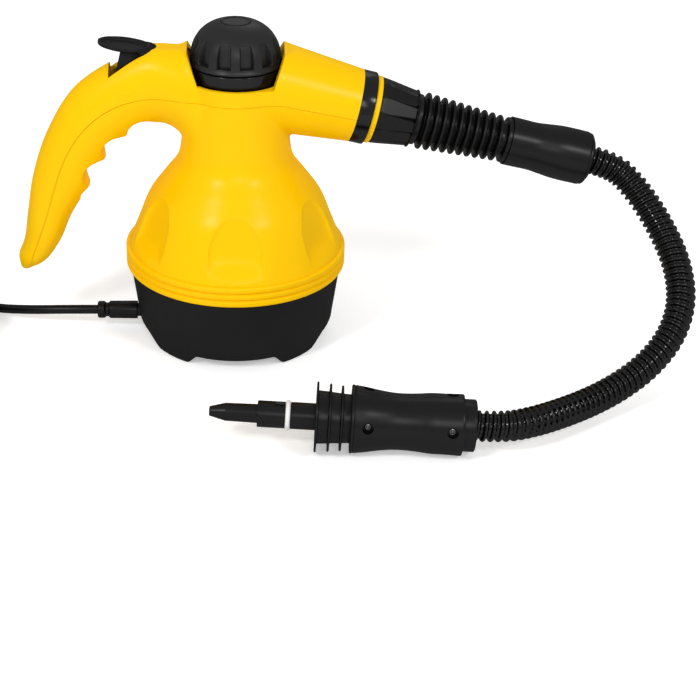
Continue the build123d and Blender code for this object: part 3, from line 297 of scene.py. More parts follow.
# Line through corners (x, y, radius): a corner with a radius becomes an arc of it that touches both sides
def rounded(corners, closed=False, steps=5):
    spots = np.array([corner[:2] for corner in corners], dtype=float)
    radii = [corner[2] if len(corner) > 2 else 0.0 for corner in corners]
    found = []
    count = len(spots)
    for k in range(count):
        here = spots[k]
        if radii[k] == 0 or (not closed and k in (0, count - 1)):
            found.append(here[None])
            continue
        before, after = spots[k - 1] - here, spots[(k + 1) % count] - here
        before, after = before / np.linalg.norm(before), after / np.linalg.norm(after)
        half = math.acos(np.clip(before @ after, -1, 1)) / 2
        reach = radii[k] / math.tan(half)
        middle = before + after
        centre = here + middle / np.linalg.norm(middle) * radii[k] / math.sin(half)
        first, last = here + before * reach - centre, here + after * reach - centre
        share = np.linspace(0, 1, steps + 1)[:, None]
        sweep = math.pi - 2 * half
        arc = (np.sin((1 - share) * sweep) * first + np.sin(share * sweep) * last) / math.sin(sweep)
        found.append(centre + arc)
    return np.vstack(found)


# Rounded line with more points: no step longer than the given one
def dense(line, step, closed=False):
    ends = np.vstack([line[1:], line[:1]]) if closed else line[1:]
    starts = line if closed else line[:-1]
    found = []
    for a, b in zip(starts, ends):
        count = max(1, int(math.ceil(np.linalg.norm(b - a) / step)))
        share = np.arange(count)[:, None] / count
        found.append(a + (b - a) * share)
    if not closed:
        found.append(line[-1:])
    return np.vstack(found)


# Smooth line through points of any dimension: cubic pieces whose slopes come from both neighbours
def smooth(points, count):
    points = np.array(points, dtype=float)
    gaps = np.linalg.norm(np.diff(points, axis=0), axis=1)
    at = np.concatenate([[0.0], np.cumsum(gaps)])
    slopes = np.gradient(points, at, axis=0)
    where = np.linspace(0, at[-1], count)
    k = np.clip(np.searchsorted(at, where, side="right") - 1, 0, len(points) - 2)
    width = (at[k + 1] - at[k])[:, None]
    u = ((where - at[k])[:, None]) / width
    keepStart, keepEnd = 2 * u**3 - 3 * u**2 + 1, -2 * u**3 + 3 * u**2
    leave, arrive = u**3 - 2 * u**2 + u, u**3 - u**2
    return keepStart * points[k] + leave * width * slopes[k] + keepEnd * points[k + 1] + arrive * width * slopes[k + 1]


upright = {"origin": (0, 0, 0), "axis": (0, 0, 1), "side": (1, 0, 0)}


# Surface turned about an axis: origin + axis * height + (side * cos t + third * sin t) * radius,
# where a change may alter radius and height with the angle t
def turned(line, place, turns=120, change=None):
    t = np.linspace(0, 2 * math.pi, turns, endpoint=False)[None, :]
    radius = np.repeat(line[:, :1], turns, axis=1)
    height = np.repeat(line[:, 1:2], turns, axis=1)
    if change is not None:
        radius, height = change(radius, height, t)
    axis, side = np.array(place["axis"], float), np.array(place["side"], float)
    third = np.cross(axis, side)
    out = np.array(place["origin"], float) + axis * height[..., None]
    out = out + (side * np.cos(t)[..., None] + third * np.sin(t)[..., None]) * radius[..., None]
    return out * mm


def turnedPiece(name, corners, place, finish, replaced, closed=True, turns=120, change=None, step=None, angle=32.0):
    line = rounded(corners, closed)
    if step:
        line = dense(line, step, closed)
    piece = makeObject(name, gridMesh(name, turned(line, place, turns, change), closed))
    dress(piece, finish, replaced, angle)
    return piece


def applyAll(piece):
    bpy.context.view_layer.update()
    seen = piece.evaluated_get(bpy.context.evaluated_depsgraph_get())
    mesh = bpy.data.meshes.new_from_object(seen)
    piece.modifiers.clear()
    old = piece.data
    piece.data = mesh
    bpy.data.meshes.remove(old)


# Joins the points that the solid's faces hold twice
def weld(mesh):
    both = bmesh.new()
    both.from_mesh(mesh)
    bmesh.ops.remove_doubles(both, verts=both.verts, dist=2e-6)
    bmesh.ops.recalc_face_normals(both, faces=both.faces)
    both.to_mesh(mesh)
    both.free()


# Adds a closed mesh to a piece as it is
def join(piece, mesh):
    both = bmesh.new()
    both.from_mesh(piece.data)
    both.from_mesh(mesh)
    both.to_mesh(piece.data)
    both.free()
    bpy.data.meshes.remove(mesh)


# Cuts, joins or meets a piece with a tool, and throws the tool away
def combine(piece, tool, way):
    step = piece.modifiers.new(way, "BOOLEAN")
    step.operation, step.object, step.solver = way, tool, "MANIFOLD"
    applyAll(piece)
    bpy.data.objects.remove(tool)


# ---- yellow casing

casing = {
    "rimR": 75.0, "rimLow": 54.0, "rimTop": 68.0, "top": 206.0, "cutTop": 205.4, "neckR": 34.0, "wall": 2.4,
    "bell": [(72.375, 68.0), (65.4, 85.25), (58.35, 102.5), (48.0, 116.99), (38.25, 130.79), (35.55, 145.28)],
    "dents": 6, "dentIn": 5.2, "dentHalf": 18.0, "dentLow": 69.5, "dentDeep": 82.0, "dentTop": 109.0,
    "fillerR": 16.4, "voxel": 1.0, "soften": 26, "again": 7, "grow": 0.35, "seam": 0.26, "grooveDeep": 0.9,
    "fingers": ((-97.5, 99.8, 7.0), (-90.6, 117.6, 10.5), (-77.5, 135.0, 10.5), (-59.5, 145.6, 12.0)),
}
noseFrame = {
    "slope": 13.0, "axisZ": 185.3, "endR": 24.0, "rootR": 29.8, "root": 22.0, "end": 81.1,
}
noseCos, noseSin = math.cos(math.radians(noseFrame["slope"])), math.sin(math.radians(noseFrame["slope"]))
nosePlace = {"origin": (0, 0, noseFrame["axisZ"]), "axis": (noseCos, 0, -noseSin), "side": (noseSin, 0, noseCos)}


# Bell: a smooth line turned about Z
def bellPoints(inset, low, high):
    shape = smooth(casing["bell"] + [(34.6, 165.0), (casing["neckR"], 190.0), (casing["neckR"], high)], 150)
    shape[:, 0] -= inset
    foot = np.array([[0.0, low], [shape[0, 0], low]])
    line = np.vstack([dense(foot, 4.0)[:-1], dense(np.vstack([foot[1:], shape[:1]]), 2.0)[:-1], shape, [[0.0, high]]])
    return turned(line, upright, 168)


# Arched dents round the bell: each point moves in by depth * rise * (1 - (u / w)^2), where u is its way
# along the bell from the dent's middle, w narrows to the arch's top as an ellipse, and the rise goes
# from nothing at the rim to full over the first millimetres and then falls away up the arch
def dentBell(piece):
    mesh = piece.data
    spots = np.empty(len(mesh.vertices) * 3)
    mesh.vertices.foreach_get("co", spots)
    spots = spots.reshape(-1, 3) / mm
    radius = np.hypot(spots[:, 0], spots[:, 1])
    span = 2 * math.pi / casing["dents"]
    off = (np.arctan2(spots[:, 1], spots[:, 0]) + math.pi / 2 + span / 2) % span - span / 2
    low, deep, top = casing["dentLow"], casing["dentDeep"], casing["dentTop"]
    up = np.clip((spots[:, 2] - deep) / (top - deep), 0, 1)
    wide = casing["dentHalf"] * np.sqrt(1 - up**2) + 1e-6
    start = np.clip((spots[:, 2] - low) / (deep - low), 0, 1)
    rise = start * start * (3 - 2 * start) * (1 - up**2) ** 0.7
    across = np.clip(1 - (off * radius / wide) ** 2, 0, 1)
    near = (radius > 46) & (spots[:, 2] > low) & (spots[:, 2] < top)
    depth = np.where(near, casing["dentIn"] * rise * across ** 0.5, 0.0)
    spots[:, :2] *= (1 - depth / np.maximum(radius, 1.0))[:, None]
    mesh.vertices.foreach_set("co", (spots * mm).reshape(-1))
    mesh.update()


def nosePoints(inset, start, end):
    lean = (noseFrame["endR"] - noseFrame["rootR"]) / (noseFrame["end"] - noseFrame["root"])
    reach = [noseFrame["rootR"] + (s - noseFrame["root"]) * lean - inset for s in (start, end)]
    line = dense(np.array([[0.0, start], [reach[0], start], [reach[1], end], [0.0, end]]), 3.0)
    return turned(line, nosePlace, 120)


handleReach, handleTop, handleHalf = 149.0, 206.0, 17.5
handleShares = [
    (-0.990, 0.236, -0.946, 0.228, 0.30), (-0.997, 0.272, -0.879, 0.255, 0.62), (-0.966, 0.330, -0.812, 0.320, 0.80),
    (-0.940, 0.437, -0.745, 0.427, 0.88), (-0.903, 0.573, -0.631, 0.558, 0.94), (-0.832, 0.714, -0.560, 0.648, 0.97),
    (-0.698, 0.864, -0.477, 0.706, 1.0), (-0.537, 0.946, -0.403, 0.740, 1.02), (-0.372, 1.002, -0.309, 0.748, 1.12),
    (-0.250, 1.000, -0.242, 0.715, 1.35), (-0.141, 1.000, -0.185, 0.620, 1.55),
]


# Handle: ovals strung between an outer and an inner line; centre + across * half * cos t + Y * width * sin t
def handlePoints(inset, under, first, around=64):
    shares = np.array(handleShares[first:])
    lines = shares * np.array([handleReach, handleTop, handleReach, handleTop, handleHalf])
    lines = smooth(lines, 130)
    outer, inner, wide = lines[:, 0:2], lines[:, 2:4], lines[:, 4]
    across = outer - inner
    long = np.linalg.norm(across, axis=1, keepdims=True)
    across = across / long
    outer = outer - across * inset
    inner = inner + across * (inset + under)
    centre, half = (outer + inner) / 2, np.linalg.norm(outer - inner, axis=1) / 2
    wide = np.maximum(wide - inset, 0.5)
    t = np.linspace(0, 2 * math.pi, around, endpoint=False)
    ovals = np.empty((len(lines), around, 3))
    ovals[..., 0] = centre[:, :1] + across[:, :1] * half[:, None] * np.cos(t)
    ovals[..., 2] = centre[:, 1:] + across[:, 1:] * half[:, None] * np.cos(t)
    ovals[..., 1] = wide[:, None] * np.sin(t)
    # the tip closes as a dome, the other end is flat inside the neck
    middle = ovals[0].mean(axis=0)
    outward = middle - ovals[3].mean(axis=0)
    outward /= np.linalg.norm(outward)
    bulge = 3.0 if inset <= 0 else 0.2
    domes = [
        middle + (ovals[0] - middle) * math.sqrt(1 - k * k) + outward * bulge * k for k in (1.0, 0.95, 0.85, 0.7, 0.5, 0.25)
    ]
    end = np.repeat(ovals[-1].mean(axis=0)[None], around, axis=0)
    return np.concatenate([np.array(domes), ovals, end[None]]) * mm


seamLine = [
    (-141.6, 39.1), (-137.1, 61.0), (-132.0, 74.6), (-125.5, 92.9), (-119.9, 111.2), (-113.5, 129.2), (-103.6, 147.1),
    (-90.0, 161.7), (-74.6, 171.0), (-58.4, 175.5), (-30.0, 176.3),
]


# Prism along Y from an outline in the XZ plane
def prism(name, outline, half):
    outline = np.asarray(outline, float)
    count = len(outline)
    points = np.zeros((2 * count, 3))
    points[:, [0, 2]] = np.vstack([outline, outline])
    points[:count, 1], points[count:, 1] = -half, half
    k = np.arange(count)
    sides = np.stack([k, (k + 1) % count, (k + 1) % count + count, k + count], axis=-1).tolist()
    mesh = bpy.data.meshes.new(name)
    mesh.from_pydata((points * mm).tolist(), [], sides + [k[::-1].tolist(), (k + count).tolist()])
    tidy = bmesh.new()
    tidy.from_mesh(mesh)
    bmesh.ops.triangulate(tidy, faces=[face for face in tidy.faces if len(face.verts) > 4])
    bmesh.ops.recalc_face_normals(tidy, faces=tidy.faces)
    tidy.to_mesh(mesh)
    tidy.free()
    return makeObject(name, mesh)


# Everything above the parting line, moved up and outwards by the lift
def aboveSeam(lift):
    curve = smooth(seamLine, 90)
    far = 300.0
    end = (far * noseCos, noseFrame["axisZ"] - far * noseSin)
    outline = np.vstack([curve, [(30.0, 176.3), end, (end[0], far), (-far, far), (-far, curve[0, 1])]])
    outline[: len(curve) + 2, 1] += lift
    outline[: len(curve), 0] -= lift
    return prism("above", outline, 150.0)


def solid(name, points, closedRows=False):
    return makeObject(name, gridMesh(name, points, closedRows))


def rodTool(radius, low, high, place=upright, turns=96):
    line = dense(np.array([[0.0, low], [radius, low], [radius, high], [0.0, high]]), 8.0)
    return solid("tool", turned(line, place, turns))


# Plan of the trigger's slot: wide at the lever's leg, with one round end
def slotTool(low, high, half=9.5, left=82.0, right=51.0, wide=11.6):
    t = np.linspace(-math.pi / 2, math.pi / 2, 24)
    centre = -(right + half)
    plan = np.column_stack([centre + half * np.cos(t), half * np.sin(t)])
    plan = np.vstack([[(-left, -wide)], plan, [(-left, wide)]])
    points = np.zeros((2, len(plan), 3))
    points[:, :, :2] = plan
    points[0, :, 2], points[1, :, 2] = low, high
    caps = np.repeat(points.mean(axis=1, keepdims=True), len(plan), axis=1)
    return solid("tool", np.concatenate([caps[:1], points, caps[1:]]) * mm)


# Voxels join and even the skin, and the passes that follow round its inner corners
def evenOut(piece, passes):
    even = piece.modifiers.new("even", "REMESH")
    even.mode, even.voxel_size, even.adaptivity = "VOXEL", casing["voxel"] * mm, 0.0
    soft = piece.modifiers.new("soft", "SMOOTH")
    soft.factor, soft.iterations = 0.5, passes
    applyAll(piece)


def makeCasing():
    grow = -casing["grow"]
    body = solid("casingBody", bellPoints(grow, casing["rimTop"] - 12, casing["top"] + 8))
    for part in (nosePoints(grow, 0.0, noseFrame["end"] + 9), handlePoints(grow, 0.0, 0)):
        combine(body, solid("tool", part), "UNION")
    evenOut(body, casing["soften"])
    for x, z, r in casing["fingers"]:
        across = {"origin": (x, -60, z), "axis": (0, 1, 0), "side": (1, 0, 0)}
        combine(body, rodTool(r, 0, 120, across, 64), "DIFFERENCE")
    evenOut(body, casing["again"])
    dentBell(body)
    print("casing evened out:", len(body.data.vertices), "points")
    # crisp edges: open foot, collar with its notch, cap well, nose end and slot
    combine(body, rodTool(120, 0, casing["rimTop"] - 0.2), "DIFFERENCE")
    combine(body, rodTool(60, casing["cutTop"], casing["top"] + 40), "DIFFERENCE")
    combine(body, rodTool(casing["neckR"] - casing["wall"], 183.7, 230.0), "DIFFERENCE")
    notch = [(-24.5, 186.5), (24.5, 186.5), (33.4, 210.0), (-33.4, 210.0)]
    combine(body, prism("tool", notch, 75.0), "DIFFERENCE")
    combine(body, rodTool(60, noseFrame["end"], noseFrame["end"] + 60, nosePlace), "DIFFERENCE")
    combine(body, slotTool(160.0, 240.0), "DIFFERENCE")
    # inside
    hollow = solid("tool", bellPoints(casing["wall"], casing["rimTop"] - 14, 183.0))
    dentBell(hollow)
    combine(body, hollow, "DIFFERENCE")
    combine(body, rodTool(casing["fillerR"], 175.0, 190.0), "DIFFERENCE")
    combine(body, solid("tool", nosePoints(casing["wall"], 31.0, noseFrame["end"] + 5)), "DIFFERENCE")
    combine(body, solid("tool", handlePoints(casing["wall"], 8.5, 2)), "DIFFERENCE")
    upper = makeObject("upperHousing", body.data.copy())
    combine(upper, aboveSeam(0.02), "INTERSECT")
    # the parting line shows as a shallow groove, closed behind so that no light comes through
    inset = casing["grooveDeep"]
    core = solid("core", bellPoints(inset, casing["rimTop"] - 12, casing["top"] + 8))
    for part in (nosePoints(inset, 0.0, noseFrame["end"] + 9), handlePoints(inset, 0.0, 0)):
        combine(core, solid("tool", part), "UNION")
    groove = aboveSeam(-0.05)
    combine(groove, aboveSeam(casing["seam"]), "DIFFERENCE")
    combine(groove, core, "DIFFERENCE")
    combine(upper, groove, "DIFFERENCE")
    combine(body, aboveSeam(0.0), "DIFFERENCE")
    body.name = "lowerHousing"
    return upper, body


def rimRing():
    low, high, edge = casing["rimLow"], casing["rimTop"], casing["rimR"]
    third = (high - low) / 3
    corners = [(69.975, low), (edge - 1.0, low, 0.4)]
    for k in range(3):
        base = low + k * third
        corners += [(edge, base + 1.0, 0.9), (edge, base + third - 1.0, 0.9)]
        if k < 2:
            corners.append((edge - 1.9, base + third, 0.35))
    corners += [(edge - 1.2, high, 0.5), (69.975, high)]
    return turned(rounded(corners, True), upright, 200)


upperHousing, lowerHousing = makeCasing()
rim = solid("rim", rimRing(), True)
combine(lowerHousing, rim, "UNION")
dress(upperHousing, "yellowShell", ["upper_housing"], 38)
dress(lowerHousing, "yellowShell", ["lower_housing"], 38)
print("casing is made")

# ---- black bowl with its four feet

bowl = {"low": 4.5, "lowR": 67.5, "high": 54.0, "highR": 72.4, "round": 13.0, "footIn": 47.0, "footR": 62.0, "footTop": 22.0,
        "feet": 4, "footHalf": 17.0, "soft": 10.0}


# Two outlines with the same number of points, the plain bowl and the bowl through a foot, and a
# share of the second that rises smoothly near each foot's angle
def bowlPoints():
    def outline(corners, counts):
        spots = np.array(corners, float)
        parts = [a + (b - a) * np.arange(n)[:, None] / n for a, b, n in zip(spots[:-1], spots[1:], counts)]
        return np.vstack(parts + [spots[-1:]])

    r = bowl["round"]
    bend = np.linspace(-math.pi / 2, 0, 13)[:-1]
    arc = np.column_stack([bowl["lowR"] - r + r * np.cos(bend), bowl["low"] + r + r * np.sin(bend)])
    plain = np.vstack([
        outline([(0, bowl["low"]), (40, bowl["low"]), (bowl["lowR"] - r, bowl["low"])], [6, 8])[:-1],
        arc,
        outline([(bowl["lowR"], bowl["low"] + r), (bowl["highR"], bowl["high"])], [16]),
    ])
    inner, edge = bowl["footIn"], bowl["footR"]
    sole = rounded([(40, bowl["low"]), (inner - 1.5, bowl["low"], 1.0), (inner + 0.5, 0, 1.2), (edge, 0, 2.4), (edge + 5.6, bowl["footTop"])], False, 4)
    sole = np.column_stack([np.interp(np.linspace(0, 1, 21), np.linspace(0, 1, len(sole)), sole[:, k]) for k in (0, 1)])
    foot = np.vstack([
        outline([(0, bowl["low"]), (40, bowl["low"])], [6])[:-1],
        sole[:-1],
        outline([tuple(sole[-1]), (bowl["highR"], bowl["high"])], [16]),
    ])
    t = np.linspace(0, 2 * math.pi, 288, endpoint=False)
    span = 2 * math.pi / bowl["feet"]
    off = np.degrees(np.abs((t + 1e-9) % span - span / 2))
    share = np.clip((bowl["footHalf"] + bowl["soft"] / 2 - off) / bowl["soft"], 0, 1)
    share = share * share * (3 - 2 * share)
    line = plain[:, None, :] + (foot - plain)[:, None, :] * share[None, :, None]
    radius, height = line[..., 0], line[..., 1]
    points = np.stack([radius * np.cos(t), radius * np.sin(t), height], axis=-1)
    lip = []
    for r2, z2 in ((bowl["highR"] - 2.4, bowl["high"]), (69.6, bowl["high"] + 0.1), (69.6, bowl["high"] + 6), (67.0, bowl["high"] + 6), (66.5, bowl["high"]),
                   (64.9, 20.0), (60.0, 9.5), (50.0, 7.1), (0.0, 7.1)):
        lip.append(np.stack([r2 * np.cos(t), r2 * np.sin(t), np.full_like(t, z2)], axis=-1))
    return np.concatenate([points, np.array(lip)]) * mm


baseBowl = solid("baseBowl", bowlPoints())
dress(baseBowl, "blackShell", ["base_bowl"], 30)

# ---- cap and what stands round it

turnedPiece("fillerCollar", [(16.1, 184.0), (30.2, 184.0, 1.2), (30.2, 195.2, 0.7), (28.0, 195.2, 0.7), (28.0, 186.2, 0.8), (16.1, 186.2)],
            upright, "collarBlack", ["filler_collar"], turns=144)

cap = {
    "low": 196.0, "edgeR": 30.3, "edgeTall": 1.1, "skirt": 3.6, "domeR": 29.5, "domeTall": 25.05, "full": 2.3, "flatR": 11.0,
    "pockets": 12, "pocketIn": 3.3, "pocketTall": 17.0, "pocketHalf": 8.4, "pocketEdge": 2.0, "inset": 9.6, "innerR": 24.3,
}


# Cap: (r / R)^n + (z / H)^n = 1 turned about Z, with upright flat-floored pockets that stop at the skirt
def capPoints():
    base, top = cap["low"] + 2.0, cap["low"] + 2.0 + cap["domeTall"]
    tall = cap["domeTall"] / (1 - (cap["flatR"] / cap["domeR"]) ** cap["full"]) ** (1 / cap["full"])
    a = np.linspace(0.0, 1.0, 90)[1:]
    radius = cap["domeR"] - (cap["domeR"] - cap["flatR"]) * a**2
    height = base + tall * (1 - (radius / cap["domeR"]) ** cap["full"]) ** (1 / cap["full"])
    dome = np.column_stack([radius, height])
    skirt = rounded([(cap["innerR"], cap["low"]), (cap["edgeR"], cap["low"], 0.4), (cap["edgeR"], cap["low"] + cap["edgeTall"], 0.5),
                     (cap["domeR"], base)], False, 4)
    seat = rounded([(cap["flatR"] - 0.1, top + 0.05), (cap["inset"] + 0.3, top, 0.3), (cap["inset"] + 0.3, top - 1.6), (0.0, top - 1.6)], False, 4)
    inside = np.array([(0.0, top - 4.4), (16.0, top - 6.5), (22.5, base + 12.0), (cap["innerR"], base + 2.0), (cap["innerR"], cap["low"])])
    line = dense(np.vstack([skirt[:-1], dome, seat]), 0.45)
    line = np.vstack([line, dense(inside, 3.0)])

    # a pocket is deepest at its foot and fades upwards; its side walls rise over two degrees, its foot at once
    def pocket(radius, height, t):
        span = 2 * math.pi / cap["pockets"]
        off = (t - math.radians(15) + span / 2) % span - span / 2
        share = np.clip((math.radians(cap["pocketHalf"]) - np.abs(off)) / math.radians(cap["pocketEdge"]) + 0.5, 0, 1)
        share = share * share * (3 - 2 * share)
        over = height - cap["low"] - cap["skirt"]
        fade = np.clip(1 - (over / cap["pocketTall"]) ** 2, 0, 1)
        cut = cap["pocketIn"] * share * fade * np.clip(over / 0.45, 0, 1)
        return np.where(radius > cap["innerR"] + 0.5, radius - cut, radius), height

    return turned(line, upright, 720, pocket)


capShell = solid("capShell", capPoints())
dress(capShell, "capBlack", ["cap_shell"], 24)
capTop = cap["low"] + 2.0 + cap["domeTall"]
turnedPiece("capInset", [(0, capTop - 1.5), (9.5, capTop - 1.5), (9.5, capTop + 0.4, 0.3), (8.7, capTop + 0.4, 0.3), (8.1, capTop - 0.3, 0.3), (0, capTop - 0.3)],
            upright, "capBlack", ["cap_inset"], closed=False, turns=96)

# Lever: the solid's leg with a fuller pad, an oval dish with a rounded rim; its outline is turned and
# then pressed to the oval across
pad = {"centre": 71.8, "top": 207.6, "tilt": 5.9, "long": 16.8, "wide": 12.2, "thick": 3.6, "dish": 2.1, "lip": 1.6}
padTilt = math.radians(pad["tilt"])
padPlace = {
    "origin": (-pad["centre"], 0, pad["top"]), "axis": (math.sin(padTilt), 0, math.cos(padTilt)),
    "side": (math.cos(padTilt), 0, -math.sin(padTilt)),
}
padLine = dense(rounded([
    (0, -pad["thick"]), (pad["long"] - 4.5, -pad["thick"], 2.0), (pad["long"], -1.2, 1.0), (pad["long"], 0, 0.6), (pad["long"] - pad["lip"], 0, 0.5),
    (pad["long"] - 3.2, -pad["dish"], 1.2), (0, -pad["dish"] - 0.3),
]), 1.0)
padPoints = turned(padLine, padPlace, 144)
padPoints[..., 1] *= pad["wide"] / pad["long"]
triggerLever = makeObject("triggerLever", nodes["trigger_lever"].data.copy())
weld(triggerLever.data)
combine(triggerLever, solid("tool", padPoints), "UNION")
dishPoints = turned(dense(rounded([
    (0, -pad["dish"]), (pad["long"] - 3.6, -pad["dish"], 2.0), (pad["long"] - pad["lip"], 0.02, 0.4), (pad["long"] - pad["lip"], 5), (0, 5),
]), 1.0), padPlace, 144)
dishPoints[..., 1] *= pad["wide"] / pad["long"]
combine(triggerLever, solid("tool", dishPoints), "DIFFERENCE")
dress(triggerLever, "leverBlack", ["trigger_lever"], 30)
print("bowl, cap and lever are made:", len(triggerLever.data.polygons), "faces in the lever")

# ---- outlet: socket, ring, lock sleeve, bend guard, grip and collar along the nose's axis

turnedPiece("nozzleSocket", [(1.5, 57.0), (14.0, 57.0), (14.0, 73.1), (21.2, 73.1), (21.2, 81.1), (24.2, 81.1, 0.4), (24.2, 90.7, 0.8), (11.0, 90.7), (11.0, 59.5), (1.5, 59.5)],
            nosePlace, "collarBlack", ["nozzle_socket"], turns=144)
turnedPiece("markerRing", [(14.2, 90.75), (22.5, 90.75, 0.6), (22.5, 94.45, 0.6), (14.2, 94.45)], nosePlace, "yellowShell", ["marker_ring"], turns=144)

sleeve = {"start": 94.65, "end": 120.7, "startR": 22.1, "endR": 19.4, "facets": 12, "flat": 0.75, "deep": 1.9, "wide": 1.7}


# Facets: the radius stops at flat planes, with a wedge groove between two that starts at nothing and
# grows deeper and wider to the hose end, where a plain ring closes the sleeve
def facet(radius, height, t):
    along = np.clip((height - sleeve["start"] - 1.5) / (sleeve["end"] - sleeve["start"] - 3.0), 0, 1)
    span = 2 * math.pi / sleeve["facets"]
    off = (t + span / 2) % span - span / 2
    flat = np.minimum(radius, (radius - sleeve["flat"] * along) * math.cos(span / 2 * 0.8) / np.cos(off))
    edge = (span / 2 - np.abs(off)) * radius
    wedge = np.clip(1 - edge / (sleeve["wide"] * along + 0.05), 0, 1) * sleeve["deep"] * along
    shaped = np.minimum(flat, radius) - wedge
    return np.where((radius > 17) & (height < sleeve["end"] - 1.0), shaped, radius), height


turnedPiece("lockSleeve", [(14.6, sleeve["start"]), (sleeve["startR"], sleeve["start"], 0.7), (sleeve["endR"], sleeve["end"], 0.8), (14.6, sleeve["end"])],
            nosePlace, "gripBlack", ["lock_sleeve"], turns=432, change=facet, step=0.8, angle=20)

guard = {"ribs": 10, "first": 128.0, "pitch": 5.65, "startR": 19.05, "endR": 15.7, "thick": 2.8, "deep": 5.4}


def guardCorners():
    fall = (guard["endR"] - guard["startR"]) / ((guard["ribs"] - 1) * guard["pitch"])
    corners = [(5.1, 120.85), (17.0, 120.85, 0.5), (17.0, 123.85, 0.6)]
    for k in range(guard["ribs"]):
        place = guard["first"] + k * guard["pitch"]
        crest = guard["startR"] + k * guard["pitch"] * fall
        root, half = crest - guard["deep"], guard["thick"] / 2
        corners += [(root, place - half, 0.4), (crest, place - half * 0.62, 0.85), (crest, place + half * 0.62, 0.85), (root, place + half, 0.4)]
    corners += [(guard["endR"] - guard["deep"], 184.0, 0.4), (15.4, 184.0, 0.5), (15.4, 187.0, 0.5), (5.1, 187.0)]
    return corners


turnedPiece("bendGuard", guardCorners(), nosePlace, "gripBlack", ["bend_guard"], turns=120)

gripLine = smooth([(16.4, 187.0), (16.3, 196.0), (16.2, 205.0), (17.0, 213.0), (17.9, 221.0), (18.2, 233.0), (18.1, 241.4)], 40)
gripCorners = [(5.1, 187.0)] + [tuple(p) for p in gripLine[:1]] + [tuple(p) for p in gripLine[1:-1]] + [(18.1, 241.4, 0.6), (5.1, 241.4)]
turnedPiece("hoseGrip", gripCorners, nosePlace, "gripBlack", ["hose_grip"], turns=120)
turnedPiece("hoseCollar", [(5.1, 241.4), (17.6, 241.4, 0.4), (17.6, 243.2, 1.0), (14.6, 245.0, 0.8), (7.0, 245.0), (5.1, 245.0)], nosePlace, "gripBlack",
            ["hose_collar"], turns=120)
print("outlet pieces are made")

# ---- handpiece

handPlan = {"tip": (-15.5, -154.0), "turn": -3.37, "finR": (22.0, 21.2, 20.2), "fins": (68.0, 76.0, 83.2), "thick": 1.3, "endR": 19.3, "end": 157.2}
handDrop = math.asin((handPlan["finR"][0] - handPlan["endR"]) / (handPlan["end"] - handPlan["fins"][0]))
handTipZ = handPlan["finR"][0] / math.cos(handDrop) + (handPlan["fins"][0] + handPlan["thick"]) * math.sin(handDrop)
handTurn = math.radians(handPlan["turn"])
handWay = (math.cos(handTurn) * math.cos(handDrop), math.sin(handTurn) * math.cos(handDrop), -math.sin(handDrop))
handSide = (-math.sin(handTurn), math.cos(handTurn), 0.0)
handPlace = {"origin": (*handPlan["tip"], handTipZ), "axis": handWay, "side": handSide}


def onHand(distance):
    return np.array(handPlace["origin"]) + np.array(handWay) * distance


# The bayonet section has two flat-floored slots, one each side, and the tip two flats
def lanceCuts(radius, height, t):
    across = radius * np.abs(np.cos(t))
    slot = (np.abs(radius * np.cos(t)) < 2.5) & (height > 40.5) & (height < 47.5) & (radius > 7)
    radius = np.where(slot, np.minimum(radius, 6.3 / np.maximum(np.abs(np.sin(t)), 0.3)), radius)
    flat = (height < 29) & (radius > 2.2)
    side = (4.9 - 0.14 * np.maximum(10 - height, 0) * 1.5) / np.maximum(np.abs(np.cos(t)), 0.2)
    return np.where(flat & (across > 0), np.minimum(radius, np.maximum(side, 2.2)), radius), height


turnedPiece("steamLance", [(1.8, 0), (2.95, 0, 0.4), (5.6, 10, 1.5), (5.9, 29.8), (8.3, 29.8, 0.5), (8.3, 40.4), (8.3, 40.6), (8.3, 47.1, 0.3), (6.6, 47.1), (6.6, 50.3),
                           (8.4, 50.3, 0.3), (8.4, 104.0), (1.8, 104.0)],
            handPlace, "gripBlack", ["steam_lance"], turns=144, change=lanceCuts, step=1.2, angle=28)
ringTurn = np.linspace(0, 2 * math.pi, 16, endpoint=False)
ringLine = np.column_stack([8.1 + 1.5 * np.cos(ringTurn), 48.7 + 1.5 * np.sin(ringTurn)])
lanceRing = solid("lanceRing", turned(ringLine, handPlace, 96), True)
dress(lanceRing, "ringWhite", ["lance_ring"])

finCorners = [
    (8.5, 65.8), (22.0, 65.8, 0.5), (22.0, 67.1, 0.5), (16.6, 67.3, 0.4), (16.2, 73.6, 0.4), (21.2, 73.8, 0.5), (21.2, 75.1, 0.5),
    (16.0, 75.3, 0.4), (15.6, 81.1, 0.4), (20.4, 81.3, 0.5), (20.4, 82.6, 0.5), (15.4, 82.8, 0.4), (15.2, 87.7), (12.8, 87.7),
    (12.8, 68.2), (8.5, 68.2),
]
turnedPiece("finGuard", finCorners, handPlace, "gripBlack", ["fin_guard"], turns=144)

